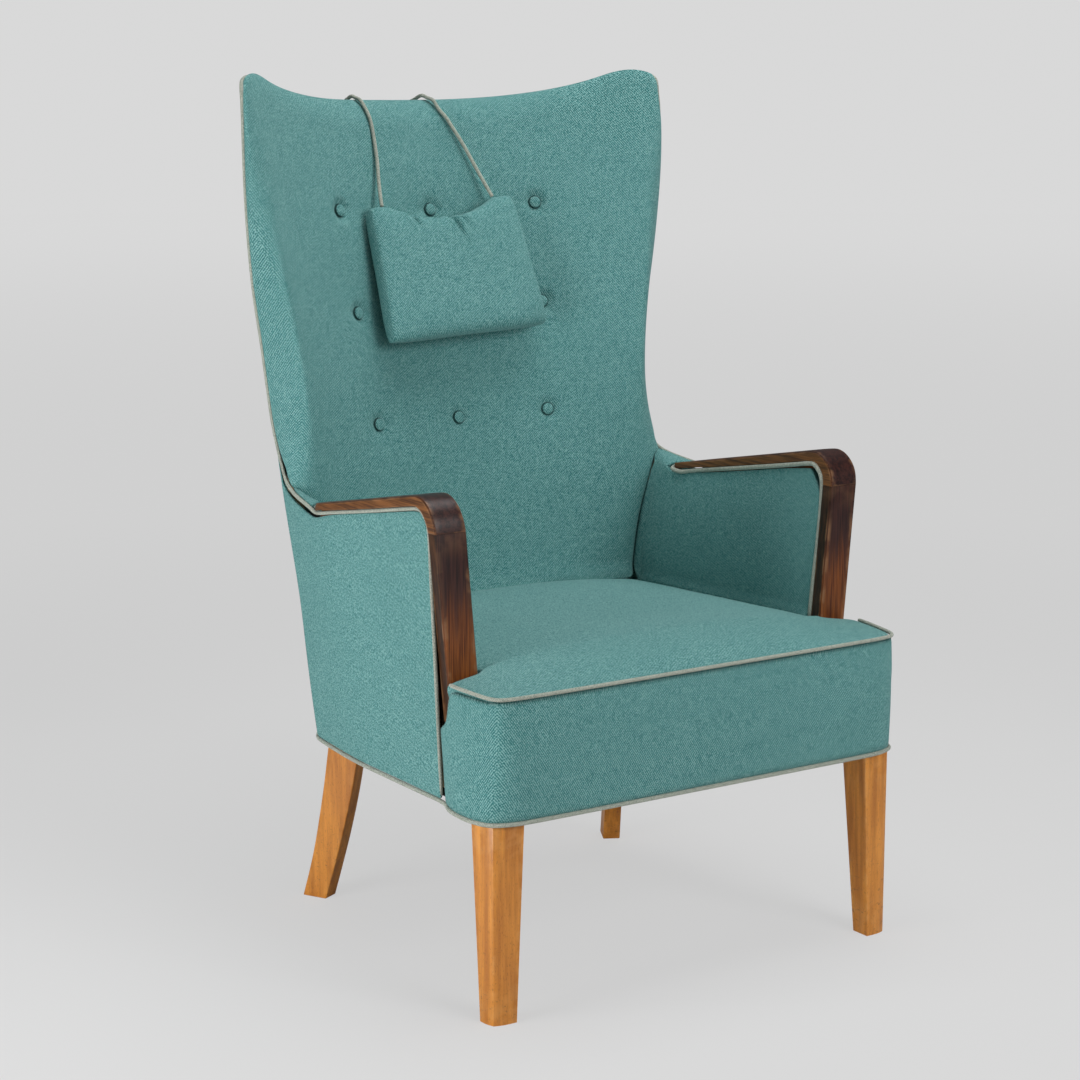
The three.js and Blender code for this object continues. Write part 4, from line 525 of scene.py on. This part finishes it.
# Cords, from the pillow over the top of the back to the weight. Points in millimetres, with y counted
# back from the front edge of the seat. The origin lies that shift further back, under the middle
shift = np.array([0, 365.038, 0])
left_route = [
    (-96.4, 625.9, 942.7), (-94, 634, 957), (-90, 645, 977), (-86, 655, 1000), (-84, 664.5, 1025),
    (-84, 672, 1048), (-86, 675.3, 1062), (-89, 682.8, 1075.5), (-92, 690.1, 1085.2), (-94, 698.8, 1088.2),
    (-96, 706.9, 1090.3), (-98, 716.8, 1085.8), (-99, 725.5, 1080.6), (-99, 730, 1075.8), (-99, 728, 1069),
    (-99, 724, 1058), (-99, 718.8, 1035), (-99, 712, 1000), (-99, 704.3, 960), (-99, 702, 925),
    (-99, 705, 903), (-99, 706.5, 882.3),
]
right_route = [
    (84.4, 627.9, 950), (80, 636, 964), (74, 646, 982), (66, 655, 1003), (57, 664, 1025),
    (48, 672.5, 1044), (41, 679.5, 1059), (34, 688.6, 1071.2), (29, 695.3, 1083), (25, 704.3, 1086.6),
    (21, 713.3, 1089.6), (17, 725.3, 1084.4), (14.5, 734.7, 1079.8), (13, 739, 1075.1), (13, 736.8, 1068.5),
    (13, 733, 1055), (13, 727.3, 1030), (13, 720.6, 1000), (13, 712.4, 960), (13, 707, 925),
    (13, 706.8, 903), (13, 706.8, 882.2),
]
cord_diameter = 0.0052
crest_point = 11


def through(points, per_span=10):
    """Centripetal Catmull-Rom curve through the points."""
    p = [2 * points[0] - points[1], *points, 2 * points[-1] - points[-2]]
    line = []
    for a, b, c, d in zip(p, p[1:], p[2:], p[3:]):
        t0 = 0
        t1 = t0 + np.linalg.norm(b - a) ** 0.5
        t2 = t1 + np.linalg.norm(c - b) ** 0.5
        t3 = t2 + np.linalg.norm(d - c) ** 0.5
        for t in np.linspace(t1, t2, per_span, endpoint=False):
            ab = a + (b - a) * (t - t0) / (t1 - t0)
            bc = b + (c - b) * (t - t1) / (t2 - t1)
            cd = c + (d - c) * (t - t2) / (t3 - t2)
            abc = ab + (bc - ab) * (t - t0) / (t2 - t0)
            bcd = bc + (cd - bc) * (t - t1) / (t3 - t1)
            line.append(abc + (bcd - abc) * (t - t1) / (t2 - t1))
    line.append(points[-1])
    return np.array(line)


def tube(line, radius, sides=14):
    """A closed tube along a line, with a frame carried from point to point."""
    tangents = np.gradient(line, axis=0)
    tangents /= np.linalg.norm(tangents, axis=1)[:, None]
    side = np.cross(tangents[0], (1, 0, 0))
    vertices = []
    for centre, tangent in zip(line, tangents):
        side = side - tangent * (side @ tangent)
        side /= np.linalg.norm(side)
        other = np.cross(tangent, side)
        for k in range(sides):
            angle = 2 * math.pi * k / sides
            vertices.append(centre + radius * (math.cos(angle) * side + math.sin(angle) * other))
    faces = []
    for i in range(len(line) - 1):
        for k in range(sides):
            a, b = i * sides + k, i * sides + (k + 1) % sides
            faces.append((a, b, b + sides, a + sides))
    faces.append(tuple(reversed(range(sides))))
    faces.append(tuple(range((len(line) - 1) * sides, len(line) * sides)))
    return smooth_mesh("tube", [tuple(v) for v in vertices], faces)


def lay_cord(name, node, route):
    """One cord in two pieces that meet on the crest."""
    line = [(np.array(p) - shift) / 1000 for p in route]
    halves = (("front", line[:crest_point + 1], "pillow"), ("rear", line[crest_point:][::-1], "weight"))
    for label, part, body in halves:
        path = through(part)
        mesh = tube(path, cord_diameter / 2)
        piece = add(f"{name}_{label}", mesh, None, edging, (node,))
        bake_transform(piece)


lay_cord("cord_left", "pillow_cord_left", left_route)
lay_cord("cord_right", "pillow_cord_right", right_route)


# Legs and arms. Bevels, and how far the rub reaches from an edge, in metres
leg_bevel, leg_rub = 0.0016, 0.0025
arm_bevel, arm_rub = 0.0012, 0.0012

for side in ("left", "right"):
    for end in ("front", "rear"):
        node = f"{end}_leg_{side}"
        mesh, sharp = smoothed(node, levels=2, crease_angle=30, bevel=leg_bevel)
        mark_edges(mesh, sharp, leg_rub)
        add(f"leg_{end}_{side}", mesh, "chair", leg_wood, (node,))
    for part, material in (("arm_rail", rail_wood), ("arm_post", post_wood)):
        node = f"{part}_{side}"
        mesh, sharp = smoothed(node, levels=2, crease_angle=35, bevel=arm_bevel)
        mark_edges(mesh, sharp, arm_rub)
        add(f"show_{part}_{side}", mesh, "chair", material, (node,))


# Buttons. Radius and height of each ring from the crown to the shank, in millimetres
button_crown = 3.1
button_rings = [
    (2.8, 3.05), (5.2, 2.85), (6.9, 2.35), (7.9, 1.5),
    (8.2, 0.6), (7.9, -0.2), (7.2, -1.0), (6.2, -2.9),
]
button_sides = 36
pleats, pleat_depth_share, pleat_radius = 9, 0.012, 8.5
# Painted shade on the button's side: full below the first height and gone above the second, in millimetres
button_shade_heights = (0.3, 1.7)


def button_axis(node):
    """The middle of a button and the way it faces."""
    co = points_of(nodes[node].data)
    centre = co.mean(axis=0)
    _, _, directions = np.linalg.svd(co - centre)
    axis = directions[2]
    return centre, axis if axis[1] < 0 else -axis


def button(node):
    """A domed button covered in pleated cloth, with painted shade where it dips into its tuft."""
    centre, axis = button_axis(node)
    turn = Vector(axis).to_track_quat("Z", "Y").to_matrix()
    vertices, faces = [], []
    for radius, height in button_rings:
        for k in range(button_sides):
            angle = 2 * math.pi * k / button_sides
            pleat = 1 + pleat_depth_share * math.sin(pleats * angle) * (radius / pleat_radius) ** 3
            x, y = radius * pleat * math.cos(angle), radius * pleat * math.sin(angle)
            vertices.append((x / 1000, y / 1000, height / 1000))
    top = len(vertices)
    vertices.append((0, 0, button_crown / 1000))
    last = (len(button_rings) - 1) * button_sides
    for start in range(0, last, button_sides):
        for k in range(button_sides):
            a, b = start + k, start + (k + 1) % button_sides
            faces.append((a, a + button_sides, b + button_sides, b))
    for k in range(button_sides):
        faces.append((top, k, (k + 1) % button_sides))
    faces.append(tuple(last + k for k in range(button_sides))[::-1])
    mesh = smooth_mesh("button", [tuple(Vector(centre) + turn @ Vector(v)) for v in vertices], faces)
    # Painted shade on the lower rings, where the button dips into its tuft
    mark(mesh, "painted_gap_shade", [1 - step(v[2] * 1000, *button_shade_heights) for v in vertices])
    return mesh


button_nodes = [n for n in nodes if n.startswith("back_button")]
tufts = []
for node in button_nodes:
    add(f"covered_{node}", button(node), "chair", cover, (node,))
    tufts.append(button_axis(node))


# Upholstery. Tufts: reach, rim and slope of the dent, and how deep it lies under the button's middle
tuft_reach, tuft_rim, tuft_slope, tuft_depth = 0.06, 0.0085, 0.007, 0.0016
# The ring of painted shade in the gap round a button
shade_ring_rim, shade_ring_width = 0.0088, 0.0011
# Short pulls that fan out from a button: number, height, distance and width
pulls, pull_height, pull_distance, pull_width = 6, 0.0004, 0.017, 0.011
# Only cloth that faces about the same way as the button is drawn in. The pulls turn from button to
# button by this many radians for each metre across
tuft_facing, pull_turn = 0.3, 40


def dimple(co, normals, centre, axis):
    """Draws the cloth in round one button and returns how much painted shade its ring gets at each point.
    """
    offset = co - centre
    height = offset @ axis
    flat = offset - np.outer(height, axis)
    reach = np.linalg.norm(flat, axis=1)
    right = np.cross((0, 0, 1), axis)
    right /= np.linalg.norm(right)
    angle = np.arctan2(flat @ np.cross(axis, right), flat @ right)
    facing = (normals @ axis > tuft_facing) & (reach < tuft_reach)
    hold = np.exp(-(np.maximum(reach - tuft_rim, 0) / tuft_slope) ** 2)
    pull = hold * np.maximum(height + tuft_depth, 0)
    # Painted shade in the narrow gap round the button's rim
    ring = np.exp(-(np.maximum(reach - shade_ring_rim, 0) / shade_ring_width) ** 2) * facing
    band = pull_height * np.exp(-((reach - pull_distance) / pull_width) ** 2)
    fan = band * np.cos(pulls * angle + centre[0] * pull_turn)
    co -= np.outer((pull + fan) * facing, axis)
    return ring


# Inside back. Its cloth is evened out from its seams inwards, between these distances from the piping,
# and once more on the wings, which begin between these widths and end between these heights
pad_crease = 0.9
cloth_free, cloth_rounds = (0.005, 0.03), 30
wing_free, wing_rounds = (0.004, 0.02), 180
wing_widths, wing_heights = (0.12, 0.2), (0.98, 1.06)
back_unevenness, back_scale, back_seed = 0.0006, 9, 3.1
# It is cut finer near its tufts, in two rounds
tuft_reaches = (0.026, 0.012)
# It is drawn up to the piping, further where the wings are low, and down to the seat at its foot
piping_reach, more_piping_reach, low_heights = 0.005, 0.008, (0.68, 0.78)
seat_reach, foot_heights = 0.03, (0.42, 0.45)
least_reach = 1e-6

mesh, _ = smoothed("inside_back_pad", levels=3, crease_angle=55, crease=pad_crease, soft_front=True)
co = points_of(mesh)
_, to_piping = nearest_on(nodes["back_piping"].data, co)
co = relaxed(mesh, co, step(to_piping, *cloth_free), cloth_rounds)
on_wing = step(abs(co[:, 0]), *wing_widths) * fade(co[:, 2], *wing_heights)
co = relaxed(mesh, co, on_wing * step(to_piping, *wing_free), wing_rounds)
move_to(mesh, co)
for reach in tuft_reaches:
    refined(mesh, [centre for centre, _ in tufts], reach, 2)
co, normals = points_of(mesh), normals_of(mesh)
# The rings round the buttons get painted shade
mark(mesh, "painted_gap_shade", np.max([dimple(co, normals, centre, axis) for centre, axis in tufts], axis=0))
co += normals * (back_unevenness * ripple(co, back_scale, back_seed))[:, None]
reach = piping_reach + more_piping_reach * fade(co[:, 2], *low_heights)
co = drawn_to(co, nodes["back_piping"].data, reach)
co = drawn_to(co, nodes["seat_pad"].data, seat_reach * fade(co[:, 2], *foot_heights) + least_reach)
move_to(mesh, co)
add("inside_back", mesh, "chair", cover, ("inside_back_pad",))
made = {"inside_back_pad": mesh, "base_piping": nodes["base_piping"].data}

# Node, name, subdivision, crease angle, unevenness, fill, and the neighbours that it is drawn up to
pad_growth, pad_scale, first_seed = 0.0003, 8, 5.0
pad_reach, border_reach = 0.013, 0.005
pads = [
    ("seat_pad", "seat_cushion", 3, 60, 0.0010, 0.9, ()),
    ("front_border", "seat_border", 2, 55, 0.0005, 0.9, ("base_piping",)),
    ("inside_arm_pad_left", "inside_arm_left", 3, 55, 0.0004, 0.8, ("inside_back_pad", "seat_pad")),
    ("inside_arm_pad_right", "inside_arm_right", 3, 55, 0.0004, 0.8, ("inside_back_pad", "seat_pad")),
    ("outside_arm_panel_left", "outside_arm_left", 2, 55, 0.0004, 0.8, ("front_border",)),
    ("outside_arm_panel_right", "outside_arm_right", 2, 55, 0.0004, 0.8, ("front_border",)),
    ("outside_back_panel", "outside_back", 2, 55, 0.0006, 0.8, ()),
]
for seed, (node, name, levels, angle, depth, fill, neighbours) in enumerate(pads):
    mesh, _ = smoothed(node, levels, angle, pad_crease)
    co, normals = points_of(mesh), normals_of(mesh)
    co += normals * (pad_growth + depth * ripple(co, pad_scale, first_seed + seed))[:, None]
    for neighbour in neighbours:
        co = drawn_to(co, made[neighbour], border_reach if neighbour == "base_piping" else pad_reach)
    move_to(mesh, co)
    made[node] = mesh
    add(name, mesh, "chair", cover, (node,))

# Piping, and how far each is filled out to close its seam. The arms' ends reach down to the base
arm_end_reach = 0.009
pipings = {
    "seat_piping": 0.0,
    "base_piping": 0.0003,
    "back_piping": 0.0,
    "arm_piping_left": 0.0006,
    "arm_piping_right": 0.0006,
}
for node, growth in pipings.items():
    mesh, _ = smoothed(node, levels=2, crease_angle=75, crease=0.0)
    co = points_of(mesh) + normals_of(mesh) * growth
    if node.startswith("arm"):
        co = drawn_to(co, nodes["base_piping"].data, arm_end_reach)
    move_to(mesh, co)
    add(f"round_{node}", mesh, "chair", edging, (node,))


# Neck pillow and the weight behind the back. Start, end and depth of each crease, measured from the
# middle of the pillow's top edge, under its margin
creases = [
    ((0.003, -0.004), (0.020, -0.058), 0.0052),
    ((0.015, -0.004), (0.031, -0.036), 0.0046),
    ((-0.060, -0.004), (-0.047, -0.030), 0.0044),
]
crease_width, fold_distance, fold_width, fold_share = 0.0034, 0.0076, 0.0036, 0.45
# From this share of its length on a crease grows shallower, by this share at its end. It also fades out
# towards the pillow's seam, between these heights of the face
shallow_from, shallow_by = 0.35, 0.85
crease_heights = (0.002, 0.008)
# The top edge sags between the cords, fully within its margin and less down to the end of its run
edge_margin, sag_run = 0.012, 0.06
pillow_sag = 0.0068
cord_margin = 0.004
# The face from this height on is filled out
pillow_seam, fullness = 0.007, 2.2
# Height, length and start of each row of small scallops on the top edge
scallop_waves = [(0.0008, 0.021, 0), (0.0005, 0.0093, 1)]


def gathered(mesh):
    """The pillow's front filled out towards its edges, its top edge gathered between the cords."""
    co = points_of(mesh)
    centre = co.mean(axis=0)
    _, _, (right, up, front) = np.linalg.svd(co - centre, full_matrices=False)
    right, up, front = right * np.sign(right[0]), up * np.sign(up[2]), front * -np.sign(front[1])
    across, rise, height = ((co - centre) @ axis for axis in (right, up, front))
    full = height.max()
    share = np.clip((height - pillow_seam) / (full - pillow_seam), 0, 1)
    fuller = pillow_seam + (full - pillow_seam) * (1 - (1 - share) ** fullness)
    height = np.where(height > pillow_seam, fuller, height)
    across -= (across.min() + across.max()) / 2
    top = rise.max()
    near_top = step(rise, top - sag_run, top - edge_margin)
    ends = [((np.array(route[0]) - shift) / 1000 - centre) @ right for route in (left_route, right_route)]
    middle, half = (ends[0] + ends[1]) / 2, (ends[1] - ends[0]) / 2
    between = np.clip(1 - (abs(across - middle) / (half - cord_margin)) ** 3, 0, 1)
    scallops = sum(depth * np.sin(across * 2 * math.pi / length + start)
                   for depth, length, start in scallop_waves)
    rise = rise - near_top * between * (pillow_sag + scallops)
    for start, end, depth in creases:
        a, b = (np.array([x, top - edge_margin + y]) for x, y in (start, end))
        run = b - a
        spot = np.stack((across, rise), axis=1) - a
        share = np.clip(spot @ run / (run @ run), 0, 1)
        away = np.linalg.norm(spot - share[:, None] * run, axis=1)
        fold = fold_share * np.exp(-((away - fold_distance) / fold_width) ** 2)
        groove = np.exp(-(away / crease_width) ** 2) - fold
        kept = 1 - step(share, shallow_from, 1.0) * shallow_by
        height = height - depth * groove * kept * step(height, *crease_heights)
    return centre + np.outer(across, right) + np.outer(rise, up) + np.outer(height, front)


mesh, _ = smoothed("neck_pillow", levels=4, crease_angle=80, crease=0.0)
move_to(mesh, gathered(mesh))
add("hung_pillow", mesh, "pillow", cover, ("neck_pillow",))
mesh, _ = smoothed("counterweight", levels=3, crease_angle=80, crease=0.0)
add("hung_weight", mesh, "weight", cover, ("counterweight",))

mesh, _ = smoothed("dust_cover", levels=1, crease_angle=60)
add("lining_under_seat", mesh, "chair", lining, ("dust_cover",))


# Hidden frame
for node, piece in nodes.items():
    if piece.hide_render:
        continue
    material = springs if "spring" in node else jute if "webbing" in node else frame_wood
    piece.data.materials.clear()
    piece.data.materials.append(material)


# Floor, lights and surroundings
floor_radius, floor_sides = 14, 96


def floor_material():
    """A pale floor that takes shadows near the chair and melts into the background further out."""
    tree = Tree("floor")
    place = tree.place.outputs["Object"]
    cloud = tree.ramp(tree.noise(place, 3), 0.3, 0.7, 0, 0.03)
    tree.put(tree.shader.inputs["Base Color"], tree.mix(cloud, (0.70, 0.70, 0.70), (0.62, 0.62, 0.62)))
    tree.put(tree.shader.inputs["Roughness"], 0.9)
    tree.shader.inputs["Specular IOR Level"].default_value = 0.1
    x, y, _ = tree.split(place)
    reach = tree.math("SQRT", tree.plus(tree.times(x, x), tree.times(y, y)))
    # The glow that the camera sees holds painted shade: it darkens from 1 m out to 3.2 m and grows pale
    # again from 3.5 m to 13 m
    tone = tree.plus(tree.ramp(reach, 1.0, 3.2, 0.715, 0.632), tree.ramp(reach, 3.5, 13, 0, 0.058))
    plain = tree.new("ShaderNodeEmission")
    tree.put(plain.inputs["Color"], tree.join(tone, tone, tone))
    path = tree.new("ShaderNodeLightPath")
    share = tree.times(tree.ramp(reach, 1.2, 3.2, 0.75, 1), path.outputs["Is Camera Ray"])
    blend = tree.new("ShaderNodeMixShader")
    tree.put(blend.inputs[0], share)
    tree.put(blend.inputs[1], tree.shader.outputs[0])
    tree.put(blend.inputs[2], plain.outputs[0])
    tree.put(tree.output.inputs["Surface"], blend.outputs[0])
    return tree.material


bpy.ops.mesh.primitive_circle_add(vertices=floor_sides, radius=floor_radius, fill_type="NGON",
                                  location=(0, 0, 0))
floor = bpy.context.object
floor.name = "floor"
floor.data.materials.append(floor_material())

# Grey behind the chair, and the white light that comes from everywhere
background_tone = 0.692
ambient_strength = 0.13

world = bpy.data.worlds.new("studio")
scene.world = world
world.use_nodes = True
tree = world.node_tree
ambient = tree.nodes["Background"]
ambient.inputs["Color"].default_value = (1, 1, 1, 1)
ambient.inputs["Strength"].default_value = ambient_strength
seen = tree.nodes.new("ShaderNodeBackground")
seen.inputs["Color"].default_value = (background_tone, background_tone, background_tone, 1)
choice = tree.nodes.new("ShaderNodeMixShader")
path = tree.nodes.new("ShaderNodeLightPath")
tree.links.new(path.outputs["Is Camera Ray"], choice.inputs[0])
tree.links.new(ambient.outputs[0], choice.inputs[1])
tree.links.new(seen.outputs[0], choice.inputs[2])
tree.links.new(choice.outputs[0], tree.nodes["World Output"].inputs["Surface"])


def lamp(name, place, aim, size, power):
    """A square soft light, in metres and watts."""
    data = bpy.data.lights.new(name, "AREA")
    data.shape = "SQUARE"
    data.size = size
    data.energy = power
    light = bpy.data.objects.new(name, data)
    light.location = place
    light.rotation_euler = (Vector(aim) - Vector(place)).to_track_quat("-Z", "Y").to_euler()
    scene.collection.objects.link(light)


lamp("side", (-1.9, -0.15, 0.6), aim=(0, 0, 0.6), size=1.0, power=22)
lamp("front", (0.6, -3.2, 1.9), aim=(0, 0, 0.6), size=1.5, power=53)
lamp("top", (0.3, -0.1, 3.0), aim=(0, 0, 0.5), size=1.8, power=40)
